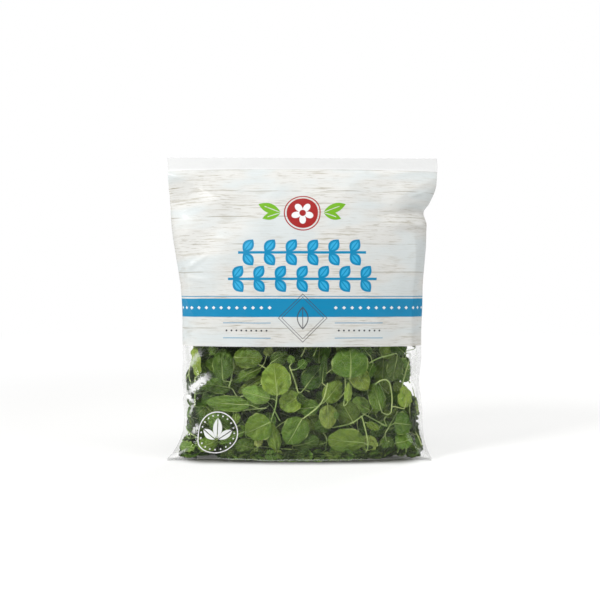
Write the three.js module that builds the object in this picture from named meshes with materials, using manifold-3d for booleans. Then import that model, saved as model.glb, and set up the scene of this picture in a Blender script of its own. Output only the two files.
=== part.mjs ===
// A sealed pillow bag of loose watercress that stands on its own folded base.
// Millimetres, +Z up, the front of the bag towards -Y, the origin under the middle of the base.

import * as THREE from 'three';
import { mergeVertices } from 'three/addons/utils/BufferGeometryUtils.js';
import Module from 'manifold-3d';

// Film: wall of the bag and its three seals
const FILM = 0.8;
const COLUMNS = 32;
const HALF_GIRTH = 215;
const EDGE_FLAT = 0.6;
const SIDE_INSET = 1.4;
const SIDE_WEDGE = 1.8;
const EAR_INSET = 5;
const EAR_HEIGHT = 10;
const FIRST_CAVITY_RING = 1;
const LAST_CAVITY_RING = 22;

// Fin seal up the middle of the back
const FIN_WIDTH = 11;
const FIN_RISE = 0.9;
const FIN_ROOT = 0.4;
const FIN_FIRST_RING = 5;

// Bottom seal, folded back under the base
const FLAP_DEPTH = 11;
const FLAP_THICK = 0.8;
const FLAP_HALF_WIDTH = 105.8;
const FLAP_SHIFT = -1.4;
const WEB_HALF = 0.7;
const WEB_TOP = 2;

// Vent hole, high in the back of the film
const VENT_RADIUS = 1.5;
const VENT_X = 40;
const VENT_HEIGHT = 204;
const VENT_SIDES = 8;
const VENT_REACH = 80;

// Rings of the film, from the bottom seal up: height at the middle and at the side edges,
// half depth, half widths left and right, and the power that makes the section a lens or an ellipse
const RINGS = [
  { height: 1.4, edge: 1.4, depth: 0.7, left: 108.2, right: 105.4, lens: 2 },
  { height: 1.4, edge: 1.5, depth: 12, left: 108.2, right: 105.4, lens: 2 },
  { height: 0, edge: 2, depth: 19, left: 108, right: 105.2, lens: 1.8 },
  { height: 0, edge: 2.6, depth: 25, left: 107.4, right: 105, lens: 1.6 },
  { height: 1.6, edge: 3.6, depth: 29.5, left: 106.4, right: 104.4, lens: 1.5 },
  { height: 5, edge: 6, depth: 31.5, left: 104.2, right: 103.2, lens: 1.3 },
  { height: 12, edge: 12, depth: 33, left: 100.2, right: 101, lens: 1.15 },
  { height: 24, edge: 24, depth: 34.3, left: 95.6, right: 98.8, lens: 1.05 },
  { height: 38, edge: 38, depth: 34.8, left: 94.2, right: 97.8, lens: 1 },
  { height: 50, edge: 50, depth: 35, left: 94, right: 96.4, lens: 1 },
  { height: 62, edge: 62, depth: 35, left: 95, right: 94.6, lens: 1 },
  { height: 72, edge: 72, depth: 35, left: 95.6, right: 95.6, lens: 1 },
  { height: 85, edge: 85, depth: 35, left: 95.2, right: 96.6, lens: 1 },
  { height: 109.5, edge: 109.5, depth: 35, left: 94.6, right: 96.4, lens: 1 },
  { height: 134, edge: 134, depth: 34.6, left: 95.8, right: 96.8, lens: 1.02 },
  { height: 156.5, edge: 156.5, depth: 32.8, left: 98.8, right: 98.4, lens: 1.08 },
  { height: 176, edge: 176, depth: 29, left: 101, right: 99.2, lens: 1.15 },
  { height: 188, edge: 188, depth: 25.5, left: 102.4, right: 99.6, lens: 1.22 },
  { height: 197, edge: 197, depth: 22, left: 103.2, right: 98.4, lens: 1.28 },
  { height: 205, edge: 205, depth: 18.5, left: 103.8, right: 102, lens: 1.35 },
  { height: 215, edge: 215, depth: 13.5, left: 104.2, right: 105.4, lens: 1.5 },
  { height: 225.5, edge: 225.5, depth: 7, left: 104.8, right: 107.4, lens: 1.8 },
  { height: 230.5, edge: 230.5, depth: 3.2, left: 105.3, right: 108, lens: 1.9 },
  { height: 234, edge: 234, depth: 0.7, left: 105.6, right: 108.2, lens: 2 },
  { height: 242.5, edge: 242.5, depth: 0.7, left: 105.8, right: 107.8, lens: 2 },
];

// Foliage: blade, petiole and stem
const BLADE = 0.8;
const BROAD_BASE = 0.14;
const STEM_HALF = 0.8;
const PETIOLE_HALF = 0.6;
const PETIOLE_STEP = 9;
const HEEL = 2;
const RIB_STEP = 1 / 6;
const CORNER_CUTS = [0.25, 0.75];
const STEM_CORNERS = [[1, -1], [-1, -1], [-1, 1], [1, 1]];

// Packing: foliage lies in layers against the film, each piece behind what was laid before it
const CELL = 2;
const LAYER_GAP = 1.2;
const EDGE_MARGIN = 1;
const SAMPLE_STEP = 1.5;
const LIFTED_MIDDLE = 26;
const DEEPEST = 0.82;
const TANGENT_REACH = 2;
const PLACE_PASSES = 12;
const FIRST_UPRIGHT_ROW = 4;

// Sprigs behind the clear front of the bag, the outermost first. Each leaf is the x and height of
// its middle, its length, its width and the way it points, 0 to the right and 90 up
const FRONT_SPRIGS = [
  { stem: [[-19.4, 60], [-19.4, 48], [-23, 38]],
    leaves: [[-20, 69, 26, 24, 97], [-36, 56, 23, 14, 165], [-34, 30, 22, 22, 205]] },
  { stem: [[36, 70], [37, 60], [34, 48]],
    leaves: [[39, 82, 25, 30, 90], [48, 68, 20, 17, 300], [38, 58, 15, 7, 80]] },
  { stemFirst: true, stem: [[48, 39], [50.5, 30], [52.8, 22], [53, 12]],
    leaves: [[36, 18, 30, 23, 170], [55, 14, 15, 14, 80], [58, 30, 12, 6, -28]] },
  { stemFirst: true, stem: [[21, 66], [18, 50], [2, 38]],
    leaves: [[26, 58, 20, 16, 48], [-5, 27, 24, 21, 240], [22, 38, 18, 15, 270], [18, 78, 24, 6, 85]] },
  { stemFirst: true, stem: [[60, 63], [66, 70], [72, 66], [73, 53], [72, 42]],
    leaves: [[62, 53, 21, 15, 100], [84, 52, 17, 15, 82]] },
  { stem: [[-57, 62], [-56, 74], [-54, 88]],
    leaves: [[-42, 86, 23, 17, 2], [-63, 80, 25, 18, 95], [-72, 90, 9, 8, 120]] },
  { stem: [[-71, 42], [-54, 41], [-28, 45]],
    leaves: [[-59, 48, 36, 13, 178], [-53, 36, 9, 7, 270]] },
  { stem: [[-9, 79], [-6, 70], [-2.5, 59]],
    leaves: [[-8, 85, 7, 6, 95], [1, 81, 8, 7, 40], [10, 70, 21, 18, 50]] },
  { stemFirst: true, stem: [[-47, 89], [-38, 83], [-29, 78]],
    leaves: [[-45, 71, 28, 9, 207], [-17, 86, 15, 12, 30], [-26, 91, 9, 8, 70]] },
  { stem: [[-2, 58], [3, 52], [14, 47]],
    leaves: [[-9, 50, 19, 18, 215], [5, 45, 20, 13, 188]] },
  { stem: [[64, 9], [72, 25], [80, 40]],
    leaves: [[84, 30, 20, 19, 350], [84, 15, 17, 15, 10], [70, 13, 12, 11, 280]] },
  { stemFirst: true, stem: [[-50, 53], [-40, 57], [-31, 65]],
    leaves: [[-43, 62, 25, 8, 212], [-70, 61, 23, 12, 170], [-24, 58, 14, 11, 300]] },
  { stem: [[-40, 8], [-20, 8], [0, 7]],
    leaves: [[-22, 21, 26, 11, 100], [-34, 17, 10, 7, 80], [-45, 12, 18, 14, 155], [4, 16, 22, 15, 20]] },
  { stemFirst: true, stem: [[26, 29], [39, 31], [50, 38]],
    leaves: [[39, 40, 20, 20, 120], [50, 46, 15, 13, 150], [18, 30, 14, 14, 190]] },
  { stemFirst: true, stem: [[55, 81], [64, 85], [74, 88]],
    leaves: [[76, 75, 21, 14, 260], [57, 73, 14, 12, 250], [52, 91, 12, 10, 130]] },
  { stem: [[-48, 30], [-60, 27], [-70, 19]],
    leaves: [[-56, 20, 21, 9, 205], [-69, 30, 20, 17, 150], [-76, 12, 17, 14, 200]] },
  { stemFirst: true, stem: [[50, 40], [59, 35], [68, 30]],
    leaves: [[62, 44, 14, 11, 60], [64, 22, 16, 14, 250], [77, 40, 14, 12, 40]] },
  { stemFirst: true, stem: [[-86, 44], [-86, 56], [-85, 68]],
    leaves: [[-86, 81, 25, 12, 92], [-80, 36, 15, 12, 300], [-76, 57, 12, 10, 20]] },
  { stem: [[20, 8], [22, 17], [16, 26]],
    leaves: [[9, 12, 18, 14, 190], [30, 8, 16, 12, 10], [10, 33, 15, 14, 130]] },
  { stemFirst: true, stem: [[83, 58], [86, 72], [88, 86]],
    leaves: [[88, 68, 14, 11, 330], [80, 92, 16, 13, 140]] },
  { stemFirst: true, stem: [[-66, 10], [-76, 11], [-84, 14]],
    leaves: [[-93, 10, 18, 9, 185], [-84, 24, 15, 12, 100]] },
];

// Sprigs elsewhere in the bag: rows at a height, spread evenly over a stretch of the girth
const SPRIG_ROWS = [
  { height: 116, from: -84, to: 84, count: 4, leaves: 3 },
  { height: 150, from: -62, to: 62, count: 3, leaves: 3 },
  { height: 84, from: 108, to: 108, count: 1, leaves: 4 },
  { height: 76, from: -108, to: -108, count: 1, leaves: 4 },
  { height: 132, from: -126, to: 126, count: 2, leaves: 3 },
  { height: 26, from: 142, to: 288, count: 5, leaves: 4 },
  { height: 68, from: 136, to: 294, count: 5, leaves: 4 },
  { height: 112, from: 160, to: 270, count: 3, leaves: 3 },
];
const SPRIG_SEED = 41;
const RELIEF_SEED = 7;
const SPRIG_SCATTER = { u: 5, height: 6 };
const STEM_HEADING = [20, 160];
const STEM_LENGTH = [34, 52];
const STEM_BEND = 9;
const LEAF_LENGTH = [15, 27];
const LEAF_ROUNDNESS = [0.7, 0.98];
const LEAF_TURN = [45, 80];
const LEAF_REACH = [3, 7];
const TIP_TURN = 20;
const BARE_FOOT = 0.2;

// Leaf relief: rise of the rim of a blade, and the slopes a blade may take to lie on its neighbours
const CUP = 1.7;
const SLOPES = [-0.36, -0.24, -0.12, 0, 0.12, 0.24, 0.36];

// Draws of chance: a linear congruential rule, the same in every run
const DRAW_FACTOR = 1664525;
const DRAW_STEP = 1013904223;
const DRAW_RANGE = 2 ** 32;

// Finishes: middle, dark and light green, taken in turn by the sprigs, and the film
const LEAF_GREENS = [0x3f7a24, 0x2f6420, 0x55892c];
const LEAF_ROUGHNESS = 0.5;
const FILM_COLOUR = 0xe8ebe6;
const FILM_ROUGHNESS = 0.22;
const FILM_OPACITY = 0.35;

const wasm = await Module();
wasm.setup();

// Manifold solid of a three.js geometry, with its vertices merged
function solidOf(geometry) {
  geometry.deleteAttribute('normal');
  geometry.deleteAttribute('uv');
  const merged = mergeVertices(geometry);
  return new wasm.Manifold(new wasm.Mesh({
    numProp: 3,
    vertProperties: new Float32Array(merged.attributes.position.array),
    triVerts: new Uint32Array(merged.index.array),
  }));
}

// Manifold solid of a list of points and a list of triangles over them
function solidOfFaces(points, faces) {
  const geometry = new THREE.BufferGeometry().setFromPoints(points);
  geometry.setIndex(faces.flat());
  return solidOf(geometry);
}

function geometryOf(solid) {
  const { vertProperties, triVerts } = solid.getMesh();
  const geometry = new THREE.BufferGeometry();
  geometry.setAttribute('position', new THREE.BufferAttribute(vertProperties, 3));
  geometry.setIndex(new THREE.BufferAttribute(triVerts, 1));
  return geometry;
}

// Largest body of a solid, without the loose scraps that a join can leave
function mainBody(solid) {
  return solid.decompose().reduce((best, body) => (body.volume() > best.volume() ? body : best));
}

function splitQuad(a, b, c, d) {
  return [[a, b, c], [a, c, d]];
}

// Film

const wrapColumn = (column) => (column + COLUMNS) % COLUMNS;

// Points of one ring, from the front middle towards +X and round the back
function ringPoints(ring) {
  return Array.from({ length: COLUMNS }, (_, column) => {
    const turn = (2 * Math.PI * column) / COLUMNS;
    const side = Math.sin(turn);
    const front = Math.cos(turn);
    const width = side > 0 ? ring.right : ring.left;
    const toEdge = THREE.MathUtils.smoothstep(Math.abs(side), EDGE_FLAT, 1);
    return new THREE.Vector3(
      width * side,
      -ring.depth * Math.sign(front) * Math.abs(front) ** ring.lens,
      THREE.MathUtils.lerp(ring.height, ring.edge, toEdge),
    );
  });
}

// Closed skin over a stack of rings, with a ladder of triangles across each end
function skinOf(rings) {
  const faces = [];
  for (let row = 0; row < rings.length - 1; row += 1) {
    for (let column = 0; column < COLUMNS; column += 1) {
      const low = row * COLUMNS;
      const next = wrapColumn(column + 1);
      faces.push(...splitQuad(low + column, low + next, low + COLUMNS + next, low + COLUMNS + column));
    }
  }
  const top = (rings.length - 1) * COLUMNS;
  const quarter = COLUMNS / 4;
  for (let rung = -quarter; rung < quarter; rung += 1) {
    const [front, nextFront] = [wrapColumn(rung), wrapColumn(rung + 1)];
    const [back, nextBack] = [wrapColumn(2 * quarter - rung), wrapColumn(2 * quarter - rung - 1)];
    const rungFaces = [];
    if (front !== back) rungFaces.push([front, back, nextBack]);
    if (nextFront !== nextBack) rungFaces.push([front, nextBack, nextFront]);
    if (front === back) rungFaces[0] = [front, nextBack, nextFront];
    for (const [a, b, c] of rungFaces) {
      faces.push([a, b, c], [top + a, top + c, top + b]);
    }
  }
  return solidOfFaces(rings.flatMap(ringPoints), faces);
}

// The same ring one film thickness further in
function innerRing(index) {
  const ring = RINGS[index];
  const below = RINGS[index - 1];
  const above = RINGS[index + 1];
  const along = new THREE.Vector2(above.depth - below.depth, above.height - below.height).normalize();
  const inset = Math.max(
    ring.edge < EAR_HEIGHT ? EAR_INSET : SIDE_INSET * FILM,
    (FILM * ring.left) / (SIDE_WEDGE * ring.depth),
  );
  return {
    height: ring.height + FILM * along.x,
    edge: ring.edge + FILM * along.x,
    depth: ring.depth - FILM * along.y,
    left: ring.left - inset,
    right: ring.right - inset,
    lens: ring.lens,
  };
}

const CAVITY_RINGS = RINGS.map((_, index) => index)
  .slice(FIRST_CAVITY_RING, LAST_CAVITY_RING + 1)
  .map(innerRing);

// Strip raised from the film up the middle of the back
function finSeal() {
  const rings = RINGS.slice(FIN_FIRST_RING);
  const outer = rings.map((ring) => new THREE.Vector2(ring.depth + FIN_RISE, ring.height));
  const inner = rings.map((ring) => new THREE.Vector2(ring.depth - FIN_ROOT, ring.height)).reverse();
  const strip = new THREE.ExtrudeGeometry(new THREE.Shape([...outer, ...inner]), {
    depth: FIN_WIDTH,
    bevelEnabled: false,
  });
  // the drawn plane becomes the plane of depth and height, and the extrusion runs along X
  strip.applyMatrix4(new THREE.Matrix4().set(
    0, 0, 1, -FIN_WIDTH / 2,
    1, 0, 0, 0,
    0, 1, 0, 0,
    0, 0, 0, 1,
  ));
  return solidOf(strip);
}

function bottomSeal() {
  const width = 2 * FLAP_HALF_WIDTH;
  const flap = new THREE.BoxGeometry(width, FLAP_DEPTH + WEB_HALF, FLAP_THICK);
  flap.translate(FLAP_SHIFT, (FLAP_DEPTH - WEB_HALF) / 2, FLAP_THICK / 2);
  const web = new THREE.BoxGeometry(width, 2 * WEB_HALF, WEB_TOP - FLAP_THICK / 2);
  web.translate(FLAP_SHIFT, 0, (WEB_TOP + FLAP_THICK / 2) / 2);
  return solidOf(flap).add(solidOf(web));
}

function ventDrill() {
  const drill = new THREE.CylinderGeometry(VENT_RADIUS, VENT_RADIUS, VENT_REACH, VENT_SIDES);
  drill.translate(VENT_X, VENT_REACH / 2, VENT_HEIGHT);
  return solidOf(drill);
}

function bagFilm() {
  return skinOf(RINGS)
    .subtract(skinOf(CAVITY_RINGS))
    .subtract(ventDrill())
    .add(finSeal())
    .add(bottomSeal());
}

// Chart of the inside of the film: u runs round the girth from the front middle, v up the film and
// depth inwards from it, towards the middle of the bag

const HALF_COLUMNS = COLUMNS / 2;

function chartRow(ring) {
  const points = ringPoints(ring);
  const surface = [];
  for (let column = -HALF_COLUMNS; column <= HALF_COLUMNS; column += 1) {
    surface.push(points[wrapColumn(column)]);
  }
  const middle = surface.map((point) => {
    const width = point.x > 0 ? ring.right : ring.left;
    return new THREE.Vector3(
      point.x * (1 - (ring.depth / width) ** 2),
      0,
      Math.max(point.z, LIFTED_MIDDLE),
    );
  });
  const girth = [0];
  for (let column = 1; column <= COLUMNS; column += 1) {
    girth.push(girth[column - 1] + surface[column].distanceTo(surface[column - 1]));
  }
  const toFront = girth[HALF_COLUMNS];
  const u = girth.map((length) => (length <= toFront
    ? (HALF_GIRTH * (length - toFront)) / toFront
    : (HALF_GIRTH * (length - toFront)) / (girth[COLUMNS] - toFront)));
  return { surface, middle, u };
}

const CHART = CAVITY_RINGS.map(chartRow);
const CHART_HEIGHTS = CAVITY_RINGS.reduce((heights, ring, index) => {
  const last = CAVITY_RINGS[index - 1];
  const step = index ? Math.hypot(ring.depth - last.depth, ring.height - last.height) : 0;
  return [...heights, (heights[index - 1] ?? 0) + step];
}, []);

const wrapTurn = (u) => u - 2 * HALF_GIRTH * Math.floor((u + HALF_GIRTH) / (2 * HALF_GIRTH));

// Index of the step of a rising list that holds a value, and how far through the step it is
function stepOf(list, value) {
  let index = 0;
  while (index < list.length - 2 && list[index + 1] <= value) index += 1;
  return [index, (value - list[index]) / (list[index + 1] - list[index])];
}

function onRow(row, u) {
  const [index, part] = stepOf(row.u, u);
  return [
    row.surface[index].clone().lerp(row.surface[index + 1], part),
    row.middle[index].clone().lerp(row.middle[index + 1], part),
  ];
}

function surfaceAndMiddle(u, v) {
  const turn = wrapTurn(u);
  const [index, part] = stepOf(CHART_HEIGHTS, v);
  const [lowSurface, lowMiddle] = onRow(CHART[index], turn);
  const [highSurface, highMiddle] = onRow(CHART[index + 1], turn);
  return [lowSurface.lerp(highSurface, part), lowMiddle.lerp(highMiddle, part)];
}

function chartPoint({ u, v, depth }) {
  const [surface, middle] = surfaceAndMiddle(u, v);
  return surface.lerp(middle, depth / surface.distanceTo(middle));
}

function roomAt(u, v) {
  const [surface, middle] = surfaceAndMiddle(u, v);
  return surface.distanceTo(middle);
}

// Function from millimetres right and up, on the film at a place of the chart, to the chart
function tangentAt(place) {
  const { u, v } = place;
  const surfaceAt = (...at) => surfaceAndMiddle(...at)[0];
  const right = surfaceAt(u + TANGENT_REACH, v).sub(surfaceAt(u - TANGENT_REACH, v));
  const up = surfaceAt(u, v + TANGENT_REACH).sub(surfaceAt(u, v - TANGENT_REACH));
  right.divideScalar(2 * TANGENT_REACH);
  up.divideScalar(2 * TANGENT_REACH);
  const rightUnit = right.clone().normalize();
  const lean = up.dot(rightUnit);
  const rise = Math.sqrt(up.lengthSq() - lean ** 2);
  return (toRight, upwards) => {
    const climb = upwards / rise;
    return { u: u + (toRight - lean * climb) / right.length(), v: v + climb };
  };
}

// Place of the chart that lies at a given x and height of the front of the bag
function onFront([x, height]) {
  const place = { u: x, v: height + CHART_HEIGHTS[FIRST_UPRIGHT_ROW] };
  for (let pass = 0; pass < PLACE_PASSES; pass += 1) {
    const [surface] = surfaceAndMiddle(place.u, place.v);
    place.u += x - surface.x;
    place.v += height - surface.z;
  }
  return place;
}

// Place of the chart at a height, at a given way round the girth
function atHeight(u, height) {
  const place = { u, v: height + CHART_HEIGHTS[FIRST_UPRIGHT_ROW] };
  for (let pass = 0; pass < PLACE_PASSES; pass += 1) {
    place.v += height - surfaceAndMiddle(place.u, place.v)[0].z;
  }
  return place;
}

// Packing field: how deep the foliage laid so far reaches, cell by cell of the chart

const FIELD_COLUMNS = (2 * HALF_GIRTH) / CELL;
const FIELD_ROWS = Math.ceil(CHART_HEIGHTS.at(-1) / CELL);
const field = new Float64Array(FIELD_COLUMNS * FIELD_ROWS);

function cellOf(place) {
  const column = Math.floor((wrapTurn(place.u) + HALF_GIRTH) / CELL);
  const row = THREE.MathUtils.clamp(Math.floor(place.v / CELL), 0, FIELD_ROWS - 1);
  return row * FIELD_COLUMNS + column;
}

function seededDraw(seed) {
  let state = seed;
  return (low, high) => {
    state = (Math.imul(state, DRAW_FACTOR) + DRAW_STEP) >>> 0;
    return low + ((high - low) * state) / DRAW_RANGE;
  };
}

// Leaf blade: a function from along and across the blade, in millimetres, to the chart, with the
// relief of its outer face

function bladeOf(leaf) {
  const heading = THREE.MathUtils.degToRad(leaf.heading);
  const toChart = tangentAt(leaf);
  return (along, across) => {
    const place = toChart(
      along * Math.cos(heading) - across * Math.sin(heading),
      along * Math.sin(heading) + across * Math.cos(heading),
    );
    const spread = (2 * along / leaf.length) ** 2 + (2 * across / leaf.width) ** 2;
    place.depth = leaf.depth + leaf.slopeAlong * along + leaf.slopeAcross * across + leaf.cup * spread;
    return { ...place, along, across };
  };
}

function bladeSamples(leaf, blade) {
  const samples = [];
  const halfLength = leaf.length / 2 + EDGE_MARGIN;
  const halfWidth = (leaf.width / 2) * (1 + BROAD_BASE) + EDGE_MARGIN;
  const steps = Math.ceil(halfLength / SAMPLE_STEP);
  for (let row = -steps; row <= steps; row += 1) {
    const along = (row * halfLength) / steps;
    const reach = halfWidth * Math.sqrt(1 - (row / steps) ** 2);
    const rungs = Math.ceil(reach / SAMPLE_STEP) + 1;
    for (let rung = -rungs; rung <= rungs; rung += 1) {
      samples.push(blade(along, (rung * reach) / rungs));
    }
  }
  return samples;
}

// Lays a leaf behind what is there, at the slopes that keep its middle nearest the film, and
// returns false where the bag has no more room
function layLeaf(leaf) {
  Object.assign(leaf, { depth: 0, slopeAlong: 0, slopeAcross: 0 });
  const level = bladeSamples(leaf, bladeOf(leaf));
  const needs = level.map((sample) => field[cellOf(sample)] + LAYER_GAP - sample.depth);
  leaf.depth = Infinity;
  for (const slopeAlong of SLOPES) {
    for (const slopeAcross of SLOPES) {
      const depth = Math.max(...needs.map((need, index) => (
        need - slopeAlong * level[index].along - slopeAcross * level[index].across)));
      if (depth < leaf.depth) Object.assign(leaf, { depth, slopeAlong, slopeAcross });
    }
  }
  const samples = bladeSamples(leaf, bladeOf(leaf));
  const fits = samples.every((sample) => (
    sample.depth + BLADE < DEEPEST * roomAt(sample.u, sample.v)));
  if (fits) {
    for (const sample of samples) {
      const cell = cellOf(sample);
      field[cell] = Math.max(field[cell], sample.depth + BLADE);
    }
  }
  return fits;
}

// Places along a line of control points, with its corners cut
function cutCorners(line) {
  const places = [line[0]];
  for (let index = 0; index < line.length - 1; index += 1) {
    for (const part of CORNER_CUTS) {
      places.push({
        u: THREE.MathUtils.lerp(line[index].u, line[index + 1].u, part),
        v: THREE.MathUtils.lerp(line[index].v, line[index + 1].v, part),
      });
    }
  }
  return [...places, line.at(-1)];
}

function segmentSamples(from, to, reach) {
  const length = Math.hypot(to.u - from.u, to.v - from.v) || 1;
  const steps = Math.ceil(length) + 1;
  const samples = [];
  for (let step = 0; step <= steps; step += 1) {
    const part = step / steps;
    for (const side of [-reach, 0, reach]) {
      samples.push({
        part,
        u: THREE.MathUtils.lerp(from.u, to.u, part) - (side * (to.v - from.v)) / length,
        v: THREE.MathUtils.lerp(from.v, to.v, part) + (side * (to.u - from.u)) / length,
      });
    }
  }
  return samples;
}

// Depth that each place of a stem needs to pass behind the foliage in a field
function clearDepths(places, half, occupied) {
  const needs = places.map(() => half + LAYER_GAP);
  for (let index = 0; index < places.length - 1; index += 1) {
    const samples = segmentSamples(places[index], places[index + 1], half + EDGE_MARGIN);
    const need = Math.max(...samples.map((sample) => occupied[cellOf(sample)])) + LAYER_GAP + half;
    needs[index] = Math.max(needs[index], need);
    needs[index + 1] = Math.max(needs[index + 1], need);
  }
  return needs;
}

function markStem(places, half) {
  for (let index = 0; index < places.length - 1; index += 1) {
    const [from, to] = [places[index], places[index + 1]];
    for (const sample of segmentSamples(from, to, half + EDGE_MARGIN)) {
      const cell = cellOf(sample);
      const depth = THREE.MathUtils.lerp(from.depth, to.depth, sample.part) + half;
      field[cell] = Math.max(field[cell], depth);
    }
  }
}

function layStem(stem) {
  clearDepths(stem, STEM_HALF, field).forEach((depth, index) => {
    stem[index].depth = depth;
  });
  markStem(stem, STEM_HALF);
}

// Four corners of a stem at one of its places: left and right outside, then right and left inside
function sectionPoints(places, index, halfWidth, halfDepth) {
  const place = places[index];
  const before = places[Math.max(index - 1, 0)];
  const after = places[Math.min(index + 1, places.length - 1)];
  const heading = Math.atan2(after.v - before.v, after.u - before.u);
  return STEM_CORNERS.map(([left, inwards]) => chartPoint({
    u: place.u - left * halfWidth * Math.sin(heading),
    v: place.v + left * halfWidth * Math.cos(heading),
    depth: place.depth + inwards * halfDepth,
  }));
}

// Four point numbers, from a first one on
const ringFrom = (first) => STEM_CORNERS.map((_, corner) => first + corner);

// Triangles round a stem, over rings of four point numbers, with its first end closed
function stemFaces(rings) {
  const faces = splitQuad(rings[0][0], rings[0][3], rings[0][2], rings[0][1]);
  for (let index = 0; index < rings.length - 1; index += 1) {
    const [low, high] = [rings[index], rings[index + 1]];
    for (let side = 0; side < STEM_CORNERS.length; side += 1) {
      const next = (side + 1) % STEM_CORNERS.length;
      faces.push(...splitQuad(low[side], low[next], high[next], high[side]));
    }
  }
  return faces;
}

function stemSolid(places) {
  const points = places.flatMap((_, index) => sectionPoints(places, index, STEM_HALF, STEM_HALF));
  const rings = places.map((_, index) => ringFrom(STEM_CORNERS.length * index));
  return solidOfFaces(points, [...stemFaces(rings), ...splitQuad(...rings.at(-1))]);
}

// Petiole from the place of the stem nearest the heel of a leaf, just behind its foot, to the heel
function petiolePlaces(leaf, stem, fieldBefore) {
  const heel = bladeOf(leaf)(-leaf.length / 2 - HEEL, 0);
  const foot = bladeOf(leaf)(-leaf.length / 2, 0);
  heel.depth += BLADE / 2;
  const distance = (place) => Math.hypot(place.u - heel.u, place.v - heel.v);
  const start = stem.reduce((best, place) => (distance(place) < distance(best) ? place : best));
  if (distance(start) < HEEL) return [start, foot];
  const steps = Math.max(1, Math.round(distance(start) / PETIOLE_STEP));
  const places = [];
  for (let step = 0; step <= steps; step += 1) {
    const part = step / steps;
    places.push({
      u: THREE.MathUtils.lerp(start.u, heel.u, part),
      v: THREE.MathUtils.lerp(start.v, heel.v, part),
      depth: THREE.MathUtils.lerp(start.depth, heel.depth, part),
    });
  }
  const heelNeed = clearDepths([heel, foot], BLADE / 2, fieldBefore)[0];
  clearDepths(places, BLADE / 2, field).forEach((need, index) => {
    if (index > 0) places[index].depth = Math.max(places[index].depth, index < steps ? need : heelNeed);
  });
  return [...places, foot];
}

// Triangles of a blade's face, over the points of its outline and two points of its rib
const OUTLINE_POINTS = 9;
const BLADE_FACES = [
  [0, 1, 9], [1, 2, 9], [9, 2, 10], [2, 3, 10], [3, 4, 10],
  [4, 5, 10], [5, 6, 10], [6, 9, 10], [6, 7, 9], [7, 8, 9], [8, 0, 9],
];

// Outline of a blade from the right of its foot round the tip to the left, then two points of its rib
function bladePoints(leaf) {
  const points = [[-leaf.length / 2, -PETIOLE_HALF]];
  for (let index = 1; index < OUTLINE_POINTS - 1; index += 1) {
    const turn = (2 * Math.PI * index) / (OUTLINE_POINTS - 1);
    const across = (leaf.width / 2) * Math.sin(turn) * (1 + BROAD_BASE * Math.cos(turn));
    points.push([(-leaf.length / 2) * Math.cos(turn), -across]);
  }
  points.push([-leaf.length / 2, PETIOLE_HALF]);
  return [...points, [-leaf.length * RIB_STEP, 0], [leaf.length * RIB_STEP, 0]];
}

// Blade and petiole in one skin
function leafSolid(leaf, petiole) {
  const blade = bladeOf(leaf);
  const outline = bladePoints(leaf);
  const points = [0, BLADE].flatMap((thickness) => outline.map(([along, across]) => {
    const place = blade(along, across);
    return chartPoint({ ...place, depth: place.depth + thickness });
  }));
  const faces = BLADE_FACES.flatMap(([a, b, c]) => [
    [a, b, c],
    [a + outline.length, c + outline.length, b + outline.length],
  ]);
  for (let index = 0; index < OUTLINE_POINTS - 1; index += 1) {
    faces.push(...splitQuad(index + outline.length, index + 1 + outline.length, index + 1, index));
  }
  const left = OUTLINE_POINTS - 1;
  const rings = petiole.slice(0, -1).map((_, index) => {
    const ring = ringFrom(points.length);
    points.push(...sectionPoints(petiole, index, PETIOLE_HALF, BLADE / 2));
    return ring;
  });
  faces.push(...stemFaces([...rings, [left, 0, outline.length, left + outline.length]]));
  return solidOfFaces(points, faces);
}

// Sprig: leaves laid one by one, with the stem before or behind them, and a petiole to each leaf
function sprigSolid(sprig) {
  const fieldBefore = field.slice();
  const stem = cutCorners(sprig.stem);
  if (sprig.stemFirst) layStem(stem);
  const leaves = sprig.leaves.filter(layLeaf);
  if (!sprig.stemFirst) layStem(stem);
  const parts = [stemSolid(stem)];
  for (const leaf of leaves) {
    const petiole = petiolePlaces(leaf, stem, fieldBefore);
    markStem(petiole, BLADE / 2);
    parts.push(leafSolid(leaf, petiole));
  }
  return mainBody(wasm.Manifold.union(parts));
}

const drawRelief = seededDraw(RELIEF_SEED);

function leafAt(place, length, width, heading) {
  return {
    ...place,
    length,
    width,
    heading,
    cup: drawRelief(-CUP, CUP),
  };
}

function frontSprig({ stem, leaves, stemFirst }) {
  return {
    stemFirst,
    stem: stem.map(onFront),
    leaves: leaves.map(([x, height, length, width, heading]) => (
      leafAt(onFront([x, height]), length, width, heading))),
  };
}

const drawSprig = seededDraw(SPRIG_SEED);

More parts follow.
